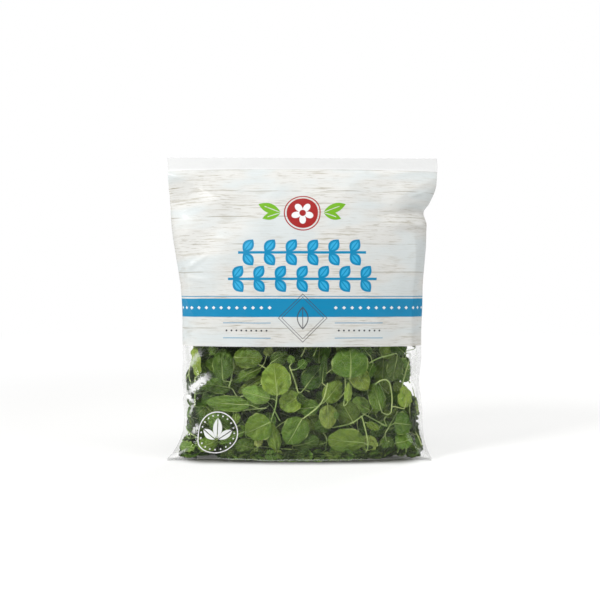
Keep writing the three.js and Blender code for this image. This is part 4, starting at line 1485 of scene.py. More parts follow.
def stored(tree, name):
    """A vector kept at the points of the object that a tree runs on."""
    return tree.node(
        "GeometryNodeInputNamedAttribute", {"data_type": "FLOAT_VECTOR"}, {"Name": name})


def other_shape(tree, wire):
    """Geometry of another object."""
    info = tree.node(
        "GeometryNodeObjectInfo", {"transform_space": "ORIGINAL"}, {"Object": wire})
    return tree.output(info, "Geometry")


def with_material(tree, geometry, material):
    return tree.node(
        "GeometryNodeSetMaterial", None, {"Geometry": geometry, "Material": material})


def stalk_tree():
    """Geometry nodes that sweep a stalk along each line of points, and join the blades to them."""
    group, tree, (lines, blades, sides, stalk_finish, blade_finish) = new_group(STALK_TREE, {
        "Lines": "Geometry", "Blades": "Object", "Sides": "Int",
        "Stalk material": "Material", "Blade material": "Material"})
    line = tree.node("GeometryNodeMeshToCurve", None, {"Mesh": lines})
    circle = tree.node("GeometryNodeCurvePrimitiveCircle", {"mode": "RADIUS"}, {
        "Resolution": sides, "Radius": 1.0})
    tube = tree.node("GeometryNodeCurveToMesh", None, {
        "Curve": line, "Profile Curve": circle, "Scale": tree.split(stored(tree, "stalk"))[0],
        "Fill Caps": True})
    tube = with_material(tree, tube, stalk_finish)
    blades = with_material(tree, other_shape(tree, blades), blade_finish)
    joined = tree.node("GeometryNodeJoinGeometry", None, {"Geometry": [blades, tube]})
    joined = tree.node("GeometryNodeRealizeInstances", None, {"Geometry": joined})
    tree.node("NodeGroupOutput", None, {"Geometry": joined})
    return group


def pile_tree():
    """Geometry nodes that set one leaf shape on each point, turned and scaled as the point says."""
    group, tree, (places, shape, finish) = new_group(PILE_TREE, {
        "Places": "Geometry", "Leaf shape": "Object", "Leaf material": "Material"})
    turn = tree.node("FunctionNodeEulerToRotation", None, {0: stored(tree, "turn")})
    points = tree.node("GeometryNodeMeshToPoints", {"mode": "VERTICES"}, {"Mesh": places})
    leaves = tree.node("GeometryNodeInstanceOnPoints", None, {
        "Points": points, "Instance": other_shape(tree, shape),
        "Rotation": turn, "Scale": stored(tree, "size")})
    leaves = tree.node("GeometryNodeRealizeInstances", None, {"Geometry": leaves})
    tree.node("NodeGroupOutput", None, {"Geometry": with_material(tree, leaves, finish)})
    return group


def stalk_object(name, paths):
    """Lines of points for the stalks of a piece: places on the chart, radius and taper of each."""
    lines, edges, stalk = [], [], []
    for path, half, end in paths:
        first = sum(map(len, lines))
        lines.append(CHART.point(*path.T))
        edges += [(first + i, first + i + 1) for i in range(len(path) - 1)]
        radius = half * np.linspace(1, end, len(path)) * MM
        stalk.append(np.stack([radius, radius, radius], axis=-1))
    return plain_object(
        name, np.concatenate(lines), edges, vectors={"stalk": np.concatenate(stalk)})


def apply_tree(host, group, values):
    """Runs a node tree on an object, and leaves its result as the object's plain mesh."""
    modifier = host.modifiers.new(group.name, "NODES")
    modifier.node_group = group
    for item in group.interface.items_tree:
        if item.in_out == "INPUT" and item.name in values:
            modifier[item.identifier] = values[item.name]
    bpy.context.view_layer.update()
    graph = bpy.context.evaluated_depsgraph_get()
    result = bpy.data.meshes.new_from_object(
        host.evaluated_get(graph), preserve_all_data_layers=True, depsgraph=graph)
    host.modifiers.clear()
    old, host.data = host.data, result
    bpy.data.meshes.remove(old)
    result.name = host.name


def leaf_material(foliage):
    """Leaf blades: tone and veins from the piece's own UV map and attribute."""
    material, tree = new_shader("Watercress leaf")
    along, across, _ = tree.split(tree.node("ShaderNodeUVMap", {"uv_map": "Chart"}))
    look = tree.node("ShaderNodeAttribute", {"attribute_name": "look"}, None, 1)
    tone, warmth, seed = tree.split(look)
    dark, mid, pale, vein = (
        (*colour, 1)
        for colour in (foliage.dark_leaf, foliage.mid_leaf, foliage.pale_leaf, foliage.vein))
    aside = abs(across - 0.5) * 2

    def patches(size, spread, *shape):
        return tree.noise(tree.combine(along * size, across * size, seed * spread), *shape)

    # lateral veins leave the foot and the midrib and bend towards the tip
    bend = along - aside * 0.75 + aside * aside * 0.35 + seed * 0.4
    ladder = tree.math("PINGPONG", bend * 2.7 + patches(3, 9, 1.6, 2.0) * 0.9, 0.5) * 2
    lateral = 1 - tree.between(ladder, 0.0, 0.16)
    rib_width = 0.045 * (1.15 - along)
    midrib = 1 - tree.between(aside, rib_width * 0.4, rib_width * 2.0)
    cells = tree.node("ShaderNodeTexVoronoi", {"feature": "DISTANCE_TO_EDGE"}, {
        "Vector": tree.combine(along * 12, across * 11, seed * 20), "Scale": 1.0})
    net = 1 - tree.between(cells, 0.0, 0.12)
    fade = 1 - tree.between(aside, 0.4, 0.95)
    veins = tree.either(tree.either(midrib, lateral * fade * 0.45), net * 0.12)
    # three tones of leaf, with painted shade where the mottle sinks the bump into hollows between
    # the veins
    low = tree.mix(tree.between(tone, 0.04, 0.45, False), dark, mid)
    ground = tree.mix(tree.between(tone, 0.45, 0.95, False), low, pale)
    mottle_and_painted_light = patches(4, 30, 1.3, 4.0, 0.6)
    ground = tree.mix(tree.between(mottle_and_painted_light, 0.25, 0.55), tree.tinted(ground, 0.62, 0.7, 0.6), ground)
    # mottled, with a painted highlight where the mottle raises the bump, some warmer and some
    # cooler, and some with a dull, milky underside showing
    for mask, low, high, strength, tint in (
            (mottle_and_painted_light, 0.5, 0.8, 0.6, (1.7, 1.5, 1.2)),
            (warmth, 0.1, 0.7, 0.7, (1.45, 1.12, 0.7)),
            (patches(2, 50, 1.0, 1.0), 0.45, 0.7, 0.35, (0.75, 1.05, 1.2)),
            (warmth, 0.72, 0.8, 0.8, (1.5, 1.25, 2.6))):
        ground = tree.mix(
            tree.between(mask, low, high) * strength, ground, tree.tinted(ground, *tint))
    # most have a paler rim
    ground = tree.mix(tree.between(aside, 0.87, 0.99) * 0.5, ground, vein)
    swell = patches(2.6, 17, 1.0, 1.0)
    height = veins * 0.6 + ladder * fade * 0.6 + mottle_and_painted_light * 1.1 + swell * 7.5
    tree.finish(tree.principled(
        Base_Color=tree.mix(veins * (tone * 0.35 + 0.32), ground, vein),
        Roughness=0.33 - veins * 0.08 + mottle_and_painted_light * 0.16,
        Normal=tree.bump(height, 0.9, 0.0009),
        Specular_IOR_Level=0.45, Specular_Tint=(0.75, 1.0, 0.5, 1)))
    return material


def stalk_material(foliage):
    """Stems and petioles: pale, juicy, and greener in patches."""
    material, tree = new_shader("Watercress stalk")
    place = tree.node("ShaderNodeTexCoord", None, None, 3)
    patch = tree.noise(place, 60.0, 3.0, 0.6)
    streak = tree.noise(place, 420.0, 2.0, 0.5)
    vein = (*foliage.vein, 1)
    colour = tree.mix(tree.between(patch, 0.35, 0.65), vein, tree.tinted(vein, 0.42, 0.6, 0.34))
    colour = tree.mix(tree.between(streak, 0.4, 0.9) * 0.5, colour, (0.62, 0.68, 0.36, 1))
    tree.finish(tree.principled(
        Base_Color=colour, Roughness=0.3 + streak * 0.15, Normal=tree.bump(streak, 0.3, 0.0002),
        Specular_IOR_Level=0.5))
    return material


class WATERCRESS_OT_sprigs(bpy.types.Operator):
    """Add the sprigs: fine leaves and stalks in the places of the CAD sprigs"""

    bl_idname = "watercress.sprigs"
    bl_label = "Sprigs"

    def execute(self, context):
        foliage = context.scene.watercress_foliage
        sprigs = pack_foliage(foliage.loose_tries).sprigs
        group = stalk_tree()
        blade_finish, stalk_finish = leaf_material(foliage), stalk_material(foliage)
        draw = seeded_draw(RELIEF_SEED)
        for index, sprig in enumerate(sprigs):
            name = f"sprig_{index + 1:02d}"
            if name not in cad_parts:
                raise RuntimeError(f"{name} isn't in the frame")
            self.add_sprig(name, index, sprig, group, blade_finish, stalk_finish, draw)
        return {"FINISHED"}

    @staticmethod
    def add_sprig(name, index, sprig, group, blade_finish, stalk_finish, draw):
        points, charts, looks, faces = [], [], [], []
        stem = smooth_path(sprig.stem)
        paths = [(stem, *STEM_DRAWN)]
        for leaf, petiole in zip(sprig.leaves, sprig.petioles):
            fine = FineLeaf(leaf, draw)
            place, chart, look, blade = fine.points()
            first = sum(map(len, points))
            faces += [tuple(first + corner for corner in face) for face in blade]
            points.append(place)
            charts.append(chart)
            looks.append(look)
            paths.append((petiole_path(petiole, stem), *PETIOLE_DRAWN))
            paths.append((fine.rib(), *RIB_DRAWN))
        blades = surface_object(
            f"{name}_blades", np.concatenate(points), faces, np.concatenate(charts),
            {"look": np.concatenate(looks)})
        piece = stalk_object(f"{name}_fine", paths)
        apply_tree(piece, group, {
            "Blades": blades, "Sides": SPRIG_SIDES, "Stalk material": stalk_finish,
            "Blade material": blade_finish})
        bpy.data.objects.remove(blades)
        finish_piece(piece, SLOTS[index % 3], name)


class WATERCRESS_OT_loose_stalks(bpy.types.Operator):
    """Add the loose stalks that lie between the sprigs and the loose leaves"""

    bl_idname = "watercress.loose_stalks"
    bl_label = "Loose stalks"

    def execute(self, context):
        stalks = pack_foliage(context.scene.watercress_foliage.loose_tries).stalks
        if not stalks:
            raise RuntimeError("no loose stalk fits in the bag")
        piece = stalk_object(
            "loose_stalks", [(smooth_path(stalk), STALK_HALF, STALK_TAPER) for stalk in stalks])
        apply_tree(piece, bpy.data.node_groups[STALK_TREE], {
            "Sides": STALK_SIDES, "Stalk material": bpy.data.materials["Watercress stalk"]})
        finish_piece(piece, "leaf_light")
        return {"FINISHED"}


class WATERCRESS_OT_loose_leaves(bpy.types.Operator):
    """Add the pile of loose leaves that fills the bag between the sprigs"""

    bl_idname = "watercress.loose_leaves"
    bl_label = "Loose leaves"

    def execute(self, context):
        group = pile_tree()
        packing = pack_foliage(context.scene.watercress_foliage.loose_tries)
        for form, name in enumerate(("cupped_leaves", "folded_leaves", "waved_leaves")):
            leaves = [leaf for leaf in packing.leaves if leaf.form == form]
            if not leaves:
                raise RuntimeError(f"no loose leaf fits in the bag for {name}")
            self.add_leaves(name, leaves, form, group)
        return {"FINISHED"}

    def add_leaves(self, name, leaves, form, group):
        shape = self.leaf_shape(form)
        piece = plain_object(name, [leaf.place for leaf in leaves], vectors={
            "turn": [leaf.turn.to_euler() for leaf in leaves],
            "size": [leaf.size * MM for leaf in leaves],
            "look": [leaf.look for leaf in leaves],
        })
        apply_tree(piece, group, {
            "Leaf shape": shape, "Leaf material": bpy.data.materials["Watercress leaf"]})
        bpy.data.objects.remove(shape)
        smooth(piece.data)
        finish_piece(piece, SLOTS[form])

    @staticmethod
    def leaf_shape(form):
        """One leaf of unit length and width, lying flat, with a relief of unit depth."""
        share, across_share, side, faces = blade_grid(*LOOSE_GRID)
        points = unit_blade(form, share, across_share, side)
        return surface_object(
            "leaf_shape", points / MM - (0, BAG_SHIFT, 0), faces, points[:, :2] + 0.5)


# Film

def film_rings(index):
    """Rings of the drawn film between the tabled ones, with thin seals."""
    table = RINGS.copy()
    table[[0, -2, -1], DEPTH] = SEAL_HALF
    return monotone(table, index)


def film_waves(u, v):
    """Slow swell of the filled film, the same in every run."""
    draw = seeded_draw(WAVE_SEED)
    swell = np.zeros(np.broadcast(u, v).shape)
    for _ in range(WAVES):
        around = round(draw(*WAVES_ROUND)) * math.pi / HALF_GIRTH
        up = draw(-WAVES_UP, WAVES_UP)
        phase = draw(0, FULL_TURN)
        swell += WAVE_HEIGHT * np.sin(around * u + up * v + phase)
    return swell


def film_folds(u, v):
    """Height of the ridges of the film over its smooth form."""
    height = np.zeros(np.broadcast(u, v).shape)
    for start, end, rise, reach in FOLDS:
        part, aside = beside_line(start, end, u, v)
        fade = smoothstep(part, *FOLD_START) * (1 - smoothstep(part, *FOLD_END))
        ridge = np.clip(1 - aside / reach, 0, 1) ** FOLD_CURVE
        height += rise * ridge * fade
    return height


def film_surface():
    """Points of the film as a grid of rows by columns, with u and v at each."""
    fine = np.linspace(0, len(RINGS) - 1, FINE_STEPS * (len(RINGS) - 1) + 1)
    rings = film_rings(fine)
    climbed = along_line(rings[:, [DEPTH, HEIGHT]])
    rows = round(climbed[-1] / FILM_ROW)
    index = np.interp(np.linspace(0, climbed[-1], rows + 1), climbed, fine)
    v_of = climbed - np.interp(BODY_RING, fine, climbed) + RINGS[BODY_RING, HEIGHT]
    dense = np.linspace(-math.pi, math.pi, FINE_TURNS)
    body = ring_points(RINGS[[BODY_RING]], dense)[0]
    girth = running(np.linalg.norm(np.diff(body, axis=0), axis=1))
    turn = np.interp(np.linspace(0, girth[-1], FILM_COLUMNS + 1), girth, dense)
    points = ring_points(film_rings(index), turn)
    v = np.interp(index, fine, v_of)[:, None] + PRINT_SAG * (1 - np.abs(np.cos(turn)))
    return points, unrolled(points), v, index


def displaced_film():
    points, u, v, index = film_surface()
    normal = np.cross(np.gradient(points, axis=1), np.gradient(points, axis=0))
    normal /= np.maximum(np.linalg.norm(normal, axis=-1, keepdims=True), 1e-9)
    # the seals stay flat, and the film may only move where it is free of them
    free = smoothstep(index, *FREE_RINGS[0]) * (1 - smoothstep(index, *FREE_RINGS[1]))
    lift = (film_folds(u, v) + film_waves(u, v)) * free[:, None]
    lift *= 1 - smoothstep(np.abs(u), *FIN_CALM) * FIN_CALMING
    moved = points + normal * lift[..., None]
    limit = RINGS[:, DEPTH].max()
    sink = TOP_SINK[0] + TOP_SINK[1] * points[..., 0] / RINGS[-1, RIGHT]
    moved[..., 2] -= sink * smoothstep(points[..., 2], SINK_START, RINGS[-1, HEIGHT])
    moved[..., 1] = np.clip(moved[..., 1], -limit, limit)
    moved[..., 2] = np.clip(moved[..., 2], 0, RINGS[-1, HEIGHT])
    moved[:, -1] = moved[:, 0]
    return moved, u, v


def grid_faces(rows, columns):
    """Faces of a grid that closes on itself, and the row and column at each of their corners."""
    row, column = np.mgrid[:rows - 1, :columns]
    row = np.stack([row, row, row + 1, row + 1], axis=-1).reshape(-1, 4)
    column = np.stack([column, column + 1, column + 1, column], axis=-1).reshape(-1, 4)
    return (row * columns + column % columns).tolist(), row.ravel(), column.ravel()


class FilmPrint:
    """The print of the film on its chart, laid ink by ink, with u and v in millimetres."""

    def __init__(self, tree, film):
        self.tree, self.film = tree, film
        across, up, _ = tree.split(tree.node("ShaderNodeUVMap", {"uv_map": "Chart"}))
        self.u = (across - 0.5) * GIRTH
        self.v = up * CHART_TOP
        self.colour = self.ink("wash")

    def ink(self, name):
        return (*getattr(self.film, name), 1)

    def lay(self, mask, colour):
        """Prints a colour, or one of the inks by its name, over what is there."""
        if isinstance(colour, str):
            colour = self.ink(colour)
        self.colour = self.tree.mix(mask, self.colour, colour)

    def grain(self, width, height, *shape):
        return self.tree.noise(
            self.tree.combine(self.u / width, self.v / height), 1.0, *shape)

    def band(self, low, high):
        return self.tree.line(self.v - (low + high) / 2, (high - low) / 2)

    def leaf(self, x, y, length, width):
        """A pointed leaf along x, from 0 to its length."""
        share = x / length * 2 - 1
        return self.tree.inside((1 - share * share) * (width / 2) - abs(y), 0.35)

    def wood(self):
        """Whitewashed wood: long streaks and fine threads, in boards more or less washed."""
        tree = self.tree
        boards = self.grain(60, 22, 2.0, 0.5)
        streaks = self.grain(26, 1.7, 4.0, 0.6, 0.3)
        threads = self.grain(11, 0.7, 3.0, 0.6, 0.2)
        knots = self.grain(26, 8, 3.0, 0.55)
        worn = tree.between(boards, 0.42, 0.62)
        bare = self.ink("grain")
        wash = self.colour
        self.colour = tree.tinted(wash, 0.94, 1.0, 1.04)
        self.lay(tree.between(boards, 0.35, 0.55), wash)
        self.lay(tree.between(streaks, 0.5, 0.7) * (worn * 0.8 + 0.15), bare)
        self.lay(
            tree.between(threads, 0.56, 0.7) * (worn * 0.7 + 0.25),
            tree.tinted(bare, 0.7, 0.66, 0.6))
        self.lay(tree.between(knots, 0.58, 0.75) * 0.4, bare)
        # edges of the planks, a thin dark line that comes and goes
        wave = tree.noise(tree.combine(self.u / 40), 1.0, 2.0)
        plank = tree.line(tree.wrap(self.v + wave * 1.5, 11.0), 0.3, 0.5)
        self.lay(plank * tree.between(knots, 0.42, 0.6) * 0.7, tree.tinted(bare, 0.6, 0.56, 0.5))

    def frieze(self):
        """Blue rows of leaves on a stem."""
        tree = self.tree
        for base, shift, reach in FRIEZE:
            part = tree.line(self.u, reach, 0.4)
            y = self.v - base
            x_leaf, y_leaf = rotated(
                tree.wrap(self.u + shift, FRIEZE_PITCH / 2) + 4.2, abs(y) - 0.4,
                math.radians(-FRIEZE_TILT))
            leaves = tree.either(self.leaf(x_leaf, y_leaf, *FRIEZE_LEAF), tree.line(y, 1.0))
            self.lay(leaves * part, "deep_blue")
            inner = self.leaf(x_leaf - 1.8, y_leaf, *FRIEZE_INNER)
            self.lay(inner * (1 - tree.line(y_leaf, 0.4)) * part, "light_blue")

    def flower(self):
        """A round red seal with a white flower, between green leaves."""
        tree = self.tree
        x, y = self.u, self.v - FLOWER_HEIGHT
        away = tree.length(x, y)
        self.lay(tree.line(away - FLOWER_RIM, 0.45, 0.35), "red")
        self.lay(tree.inside(FLOWER_DISC - away, 0.35), "red")
        turn = tree.math("ARCTAN2", y, x) * (PETALS / FULL_TURN)
        petal = tree.math("PINGPONG", turn + 5.25, 0.5)
        petals = tree.inside(9.0 - petal * petal * 24 - away, 0.35)
        self.lay(petals * tree.inside(away - 2.6, 0.35), "white")
        for tilt, size in GREEN_LEAVES:
            x_leaf, y_leaf = rotated(abs(x) - GREEN_FOOT, y, math.radians(-tilt))
            rib = tree.line(y_leaf, 0.3) * tree.inside(size * 0.72 - x_leaf, 0.4)
            self.lay(self.leaf(x_leaf, y_leaf, size, size * 0.42) * (1 - rib), "green")

    def bands(self):
        """A blue band with a row of small lozenges, thin rules and rows of beads."""
        tree = self.tree
        self.lay(tree.either(*(self.band(*band) for band in BANDS)), "deep_blue")
        dot = abs(tree.wrap(self.u, 3.2)) + abs(self.v - DOT_HEIGHT) * 1.1
        self.lay(tree.inside(1.5 - dot) * tree.inside(abs(self.u) - DOT_MARGIN), "white")
        beside = tree.line(abs(self.u) - RULE_MIDDLE, RULE_HALF)
        rules = tree.either(*(self.band(*rule) for rule in RULES))
        self.lay(rules * beside, "deep_blue")
        beads = tree.length(tree.wrap(self.u, 2.0), self.v - BEAD_HEIGHT)
        self.lay(tree.inside(0.75 - beads) * beside, "dark")

    def lozenge(self):
        """A dark thin-lined lozenge in the middle, with a leaf in it."""
        tree = self.tree
        x, y = self.u, self.v - LOZENGE_HEIGHT
        lines = tree.either(*(
            tree.line(abs(x) + abs(y) - reach, half) for reach, half in LOZENGE_LINES))
        x_leaf, y_leaf = rotated(x, y, math.radians(-90))
        shape, hollow = (
            self.leaf(x_leaf + size[0] / 2, y_leaf, *size)
            for size in (LOZENGE_LEAF, LOZENGE_INNER))
        outline = tree.either(1 - hollow, tree.line(y_leaf, 0.3))
        lines = tree.either(lines, shape * outline)
        self.lay(lines * 0.85, "dark")

    def sprout(self):
        """Mask of a white sprout in a ring of dots, low in the left of the window."""
        tree = self.tree
        x, y = self.u - SPROUT_PLACE[0], self.v - SPROUT_PLACE[1]
        marks = []
        for tilt, size in SPROUT_LEAVES:
            x_leaf, y_leaf = rotated(x, y + 6.0, math.radians(-tilt))
            shape = self.leaf(x_leaf - 1.2, y_leaf, size, size * 0.46)
            marks.append(shape * tree.inside(abs(y_leaf) - 0.35))
        away = tree.length(x, y)
        marks.append(tree.line(away - SPROUT_RING, 0.45, 0.35))
        spoke = tree.wrap(tree.math("ARCTAN2", y, x), math.pi / 20)
        dots = tree.length(spoke * SPROUT_DOTS, away - SPROUT_DOTS)
        marks.append(tree.inside(0.65 - dots))
        return reduce(tree.either, marks)

    def milk_sheen_and_highlights(self):
        """How milky the clear film is, with a painted sheen where it is seen edge on and painted
        highlights where it is creased.
        """
        tree, u, v = self.tree, self.u, self.v
        facing = tree.node("ShaderNodeLayerWeight", None, {"Blend": 0.35}, 1)
        cloud = tree.between(self.grain(30, 20, 4.0, 0.6), 0.3, 0.7)
        # the film's own haze, and a painted sheen that whitens it where it is seen edge on
        haze = (facing * facing * self.film.edge_sheen + self.film.haze) * (cloud * 0.8 + 0.5)
        # no haze or sheen low on the front of the bag, only in its ears
        haze = haze * tree.either(tree.between(v, 5.0, 16.0), tree.between(abs(u), 84, 100))
        scratch = self.grain(2.4, 2.4, 3.0, 0.6)
        # painted highlights: white streaks along the creases, ragged at their edges
        for start, end, reach, strength in CREASE_HIGHLIGHTS:
            part, aside = beside_line(start, end, u, v)
            aside = aside + (scratch - 0.5) * reach * CREASE_RAGGED
            taper = tree.between(part, *CREASE_START) * (1 - tree.between(part, *CREASE_END))
            haze = haze + (1 - tree.between(aside, reach * 0.2, reach)) * taper * strength
        return tree.math("MINIMUM", haze, 1.0)


def film_material(film):
    """Printed film: a clear window below, and above it generic motifs on whitewashed wood."""
    material, tree = new_shader("Printed film")
    layout = FilmPrint(tree, film)
    layout.wood()
    layout.frieze()
    layout.flower()
    layout.bands()
    layout.lozenge()
    # the seal band is plain
    layout.lay(tree.inside(layout.v - film.seal_band / MM, 0.5), "white")
    printed = tree.inside(layout.v - film.window_top / MM, 0.5)
    mark = layout.sprout() * 0.85
    # below the window the colour is white: for the sprout mark, the haze, the painted sheen and the
    # painted crease highlights
    colour = tree.mix(printed, layout.ink("white"), layout.colour)
    vent = tree.length(layout.u - VENT_PLACE[0], layout.v - VENT_PLACE[1])
    opacity = reduce(tree.either, (printed * film.ink_cover, mark, layout.milk_sheen_and_highlights()))
    opacity = opacity * (1 - tree.inside(VENT_RADIUS - vent, 0.2))
    # slack in the film between the folds
    slack = layout.grain(17, 12, 3.0, 0.5) + layout.grain(3.5, 3.0, 2.0, 0.5) * 0.05
    bump = tree.bump(slack, 0.6, 0.0011)
    ink = tree.principled(
        Base_Color=colour, Roughness=0.42, Normal=bump, Specular_IOR_Level=0.3)
    mirror = tree.principled(
        Base_Color=(1, 1, 1, 1), Metallic=1.0, Roughness=0.09, Normal=bump)
    clear = tree.node("ShaderNodeBsdfTransparent")
    gloss = tree.node("ShaderNodeFresnel", None, {"IOR": 1.3, "Normal": bump})
    gloss = tree.math("MINIMUM", gloss, 0.22)
    window = tree.node("ShaderNodeMixShader", None, {0: gloss, 1: clear, 2: mirror})
    tree.finish(tree.node("ShaderNodeMixShader", None, {0: opacity, 1: window, 2: ink}))
    return material


class WATERCRESS_OT_film(bpy.types.Operator):
    """Add the printed film: the pillow with its folds, its fin seal and its folded bottom seal"""

    bl_idname = "watercress.film"
    bl_label = "Printed film"

    def execute(self, context):
        finish = film_material(context.scene.watercress_film)
        for piece in (self.pillow(), self.fin(), self.flap()):
            piece.data.materials.append(finish)
            finish_piece(piece, "film", "bag_film")
        return {"FINISHED"}

    @staticmethod
    def pillow():
        points, u, v = displaced_film()
        rows, columns = len(points), FILM_COLUMNS
        faces, row, column = grid_faces(rows, columns)
        chart = np.stack([u[row, column] / GIRTH + 0.5, v[row, column] / CHART_TOP], axis=-1)
        middle = columns // 2
        ends, end_chart = [], []
        for level, way in ((0, 1), (rows - 1, -1)):
            for step in range(middle):
                rung = [
                    level * columns + column % columns for column in (
                        middle + step, middle - step, middle - step - 1, middle + step + 1)]
                rung = list(dict.fromkeys(rung))[::way]
                ends.append(rung)
                end_chart += [(0.5, v[level, 0] / CHART_TOP)] * len(rung)
        return surface_object(
            "film_pillow", points[:, :-1].reshape(-1, 3), faces + ends,
            np.concatenate([chart, end_chart]))

    @staticmethod
    def strip(name, centre, outwards, width_way, ripple, chart):
        """A closed thin strip along a line of points."""
        share = np.linspace(-1, 1, STRIP_STEPS + 1)
        share = np.concatenate([share, share[::-1]])
        side = np.repeat([1, 0], STRIP_STEPS + 1)
        lift = STRIP_GAP + ripple[:, None] + side * STRIP_THICK
        points = centre[:, None] + outwards[:, None] * lift[..., None]
        points = points + width_way * share[:, None]
        rows, columns = points.shape[:2]
        faces, _, _ = grid_faces(rows, columns)
        for level, way in ((0, 1), (rows - 1, -1)):
            for column in range(STRIP_STEPS):
                opposite = columns - 1 - column
                faces.append([level * columns + place for place in (
                    opposite - 1, column + 1, column, opposite)][::way])
        chart = np.stack(np.broadcast_arrays(*chart(share)), axis=-1)
        return surface_object(name, points.reshape(-1, 3), faces, chart.reshape(-1, 2))

    def fin(self):
        index = np.linspace(*FIN_RINGS, FIN_ROWS)
        rings = film_rings(index)
        centre = np.stack([np.zeros(len(index)), rings[:, DEPTH], rings[:, HEIGHT]], axis=-1)
        along = np.gradient(centre, axis=0)
        outwards = np.stack([np.zeros(len(index)), along[:, 2], -along[:, 1]], axis=-1)
        outwards /= np.linalg.norm(outwards, axis=1, keepdims=True)
        heights = np.interp(index, range(len(RINGS)), RINGS[:, HEIGHT])
        return self.strip(
            "film_fin_seal", centre, outwards, np.array([-FIN_WIDTH / 2, 0, 0]),
            0.12 + 0.1 * np.sin(index * 5),
            lambda share: (FIN_CHART[0] + share * FIN_CHART[1], heights[:, None] / CHART_TOP))

    def flap(self):
        x = np.linspace(-FLAP_HALF_WIDTH, FLAP_HALF_WIDTH, FLAP_ROWS) + FLAP_SHIFT
        centre = np.stack(np.broadcast_arrays(x, FLAP_DEPTH / 2, FLAP_HEIGHT), axis=-1)
        return self.strip(
            "film_bottom_seal", centre, np.tile([0, 0, -1.0], (len(x), 1)),
            np.array([0, FLAP_DEPTH / 2, 0]), 0.06 * np.sin(x / 7),
            lambda share: (0.5 + x[:, None] / GIRTH, FLAP_CHART[0] + share * FLAP_CHART[1]))


# Studio, in metres. Lights: setting, place, width and height
LIGHTS = (
    ("key", (-1.0, -0.9, 1.0), 0.35, 0.35),
    ("top", (0.2, -0.35, 1.4), 0.9, 0.6),
    ("fill", (1.2, -0.6, 0.6), 0.8, 0.8),
    ("strip", (-0.8, -0.24, 0.3), 0.12, 0.5),
    ("rear", (0.7, 1.1, 1.0), 0.6, 0.6),
)
LIT_PLACE = Vector((0, 0, 0.12))
FLOOR_REACH = 0.9
FLOOR_SIDES = 96
# Where the floor turns as white as the backdrop, and where its glow is darkened under the base of
# the bag, a painted contact shadow
FLOOR_FADE = (0.3, 0.62)
CONTACT_SHADOW_HALF_LENGTH = 0.072
CONTACT_SHADOW_FADE = (0.014, 0.031)


def floor_material():
    material, tree = new_shader("Pale floor")
    place = tree.node("ShaderNodeTexCoord", None, None, 3)
    speck = tree.noise(place, 900.0, 2.0)
    near, far = (0.46, 0.46, 0.45, 1), (0.0, 0.0, 0.0, 1)
    away = tree.between(tree.length(place), *FLOOR_FADE)
    x, y, _ = tree.split(place)
    # painted contact shadow: the glow of the floor turns nearly black under the base of the bag and
    # fades out just beyond it
    under = tree.length(tree.either(abs(x) - CONTACT_SHADOW_HALF_LENGTH, 0.0), y)
    glow_and_contact_shadow = tree.mix(
        tree.between(under, *CONTACT_SHADOW_FADE), (0.03, 0.03, 0.02, 1), (0.54, 0.54, 0.54, 1))
    tree.finish(tree.principled(
        Base_Color=tree.mix(away, tree.mix(speck * 0.2, near, far), far),
        Roughness=0.7, Specular_IOR_Level=0.1,
        Emission_Color=tree.mix(away, glow_and_contact_shadow, (1, 1, 1, 1)), Emission_Strength=1.0))
    return material


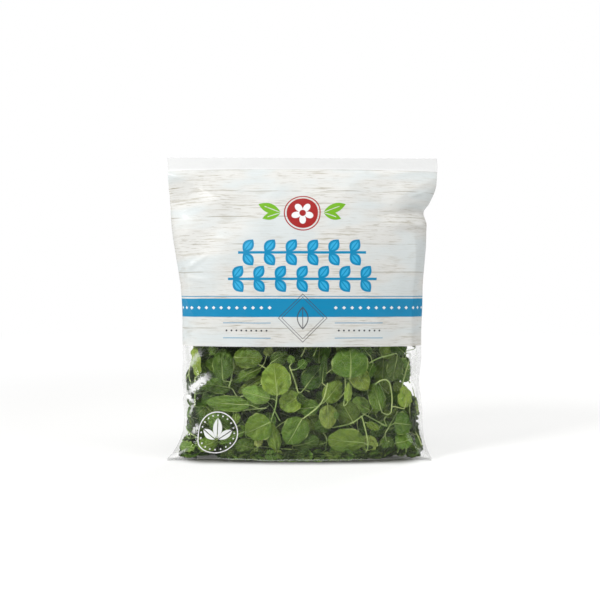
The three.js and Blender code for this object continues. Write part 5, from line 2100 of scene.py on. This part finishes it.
class WATERCRESS_OT_studio(bpy.types.Operator):
    """Add the pale floor, the soft light and the camera"""

    bl_idname = "watercress.studio"
    bl_label = "Studio"

    def execute(self, context):
        stage = context.scene.watercress_stage
        self.add_floor()
        self.add_world(context, stage)
        for key, *light in LIGHTS:
            self.add_light(f"{key.title()} light", *light, getattr(stage, key))
        self.add_camera(context, stage)
        return {"FINISHED"}

    @staticmethod
    def add_floor():
        mesh = bpy.data.meshes.new("floor")
        turns = np.arange(FLOOR_SIDES) * FULL_TURN / FLOOR_SIDES
        rim = np.stack([np.cos(turns), np.sin(turns), np.zeros(FLOOR_SIDES)], axis=-1)
        mesh.from_pydata((rim * FLOOR_REACH).tolist(), [], [tuple(range(FLOOR_SIDES))])
        mesh.materials.append(floor_material())
        floor = bpy.data.objects.new("floor", mesh)
        bpy.context.scene.collection.objects.link(floor)

    @staticmethod
    def add_world(context, stage):
        """A white backdrop in the picture, which lights the bag less than it shows."""
        world = bpy.data.worlds.new("Studio")
        context.scene.world = world
        world.use_nodes = True
        tree = NodeTree(world.node_tree)
        shown = tree.node("ShaderNodeLightPath")
        sky = tree.node("ShaderNodeBackground", None, {
            "Color": (1, 1, 1, 1),
            "Strength": shown * (stage.backdrop - stage.ambient) + stage.ambient})
        tree.node("ShaderNodeOutputWorld", None, {"Surface": sky})

    @staticmethod
    def add_light(name, place, width, height, power):
        light = bpy.data.lights.new(name, "AREA")
        light.shape = "RECTANGLE"
        light.size, light.size_y = width, height
        light.energy = power
        lamp = bpy.data.objects.new(name, light)
        lamp.location = place
        towards = LIT_PLACE - Vector(place)
        lamp.rotation_euler = towards.to_track_quat("-Z", "Y").to_euler()
        bpy.context.scene.collection.objects.link(lamp)

    @staticmethod
    def add_camera(context, stage):
        data = bpy.data.cameras.new("Camera")
        data.lens = stage.lens
        camera = bpy.data.objects.new("Camera", data)
        back = Vector((0, -math.cos(stage.elevation), math.sin(stage.elevation)))
        camera.location = Vector(stage.aim) + back * stage.distance
        camera.rotation_euler = (-back).to_track_quat("-Z", "Y").to_euler()
        context.scene.collection.objects.link(camera)
        context.scene.camera = camera
        context.scene.view_settings.view_transform = "Standard"


class WATERCRESS_PT_panel(bpy.types.Panel):
    """Lists the pieces of the bag and of its studio"""

    bl_idname = "WATERCRESS_PT_panel"
    bl_label = "Bag of watercress"
    bl_space_type = "VIEW_3D"
    bl_region_type = "UI"
    bl_category = "Watercress"

    def draw(self, context):
        for name in ("watercress_film", "watercress_foliage", "watercress_stage"):
            group = getattr(context.scene, name)
            box = self.layout.box()
            for key in group.__annotations__:
                box.prop(group, key)
        for operator in OPERATORS:
            self.layout.operator(operator.bl_idname)


OPERATORS = (
    WATERCRESS_OT_sprigs, WATERCRESS_OT_loose_stalks, WATERCRESS_OT_loose_leaves,
    WATERCRESS_OT_film, WATERCRESS_OT_studio)
GROUPS = {
    "watercress_film": FilmSettings,
    "watercress_foliage": FoliageSettings,
    "watercress_stage": StageSettings,
}


def register():
    for kind in (*GROUPS.values(), *OPERATORS, WATERCRESS_PT_panel):
        bpy.utils.register_class(kind)
    for name, kind in GROUPS.items():
        setattr(bpy.types.Scene, name, bpy.props.PointerProperty(type=kind))


def unregister():
    for name in GROUPS:
        delattr(bpy.types.Scene, name)
    for kind in (WATERCRESS_PT_panel, *reversed(OPERATORS), *reversed(GROUPS.values())):
        bpy.utils.unregister_class(kind)


def main():
    register()
    bpy.ops.watercress.sprigs()
    bpy.ops.watercress.loose_stalks()
    bpy.ops.watercress.loose_leaves()
    bpy.ops.watercress.film()
    bpy.ops.watercress.studio()


if __name__ == "__main__":
    main()
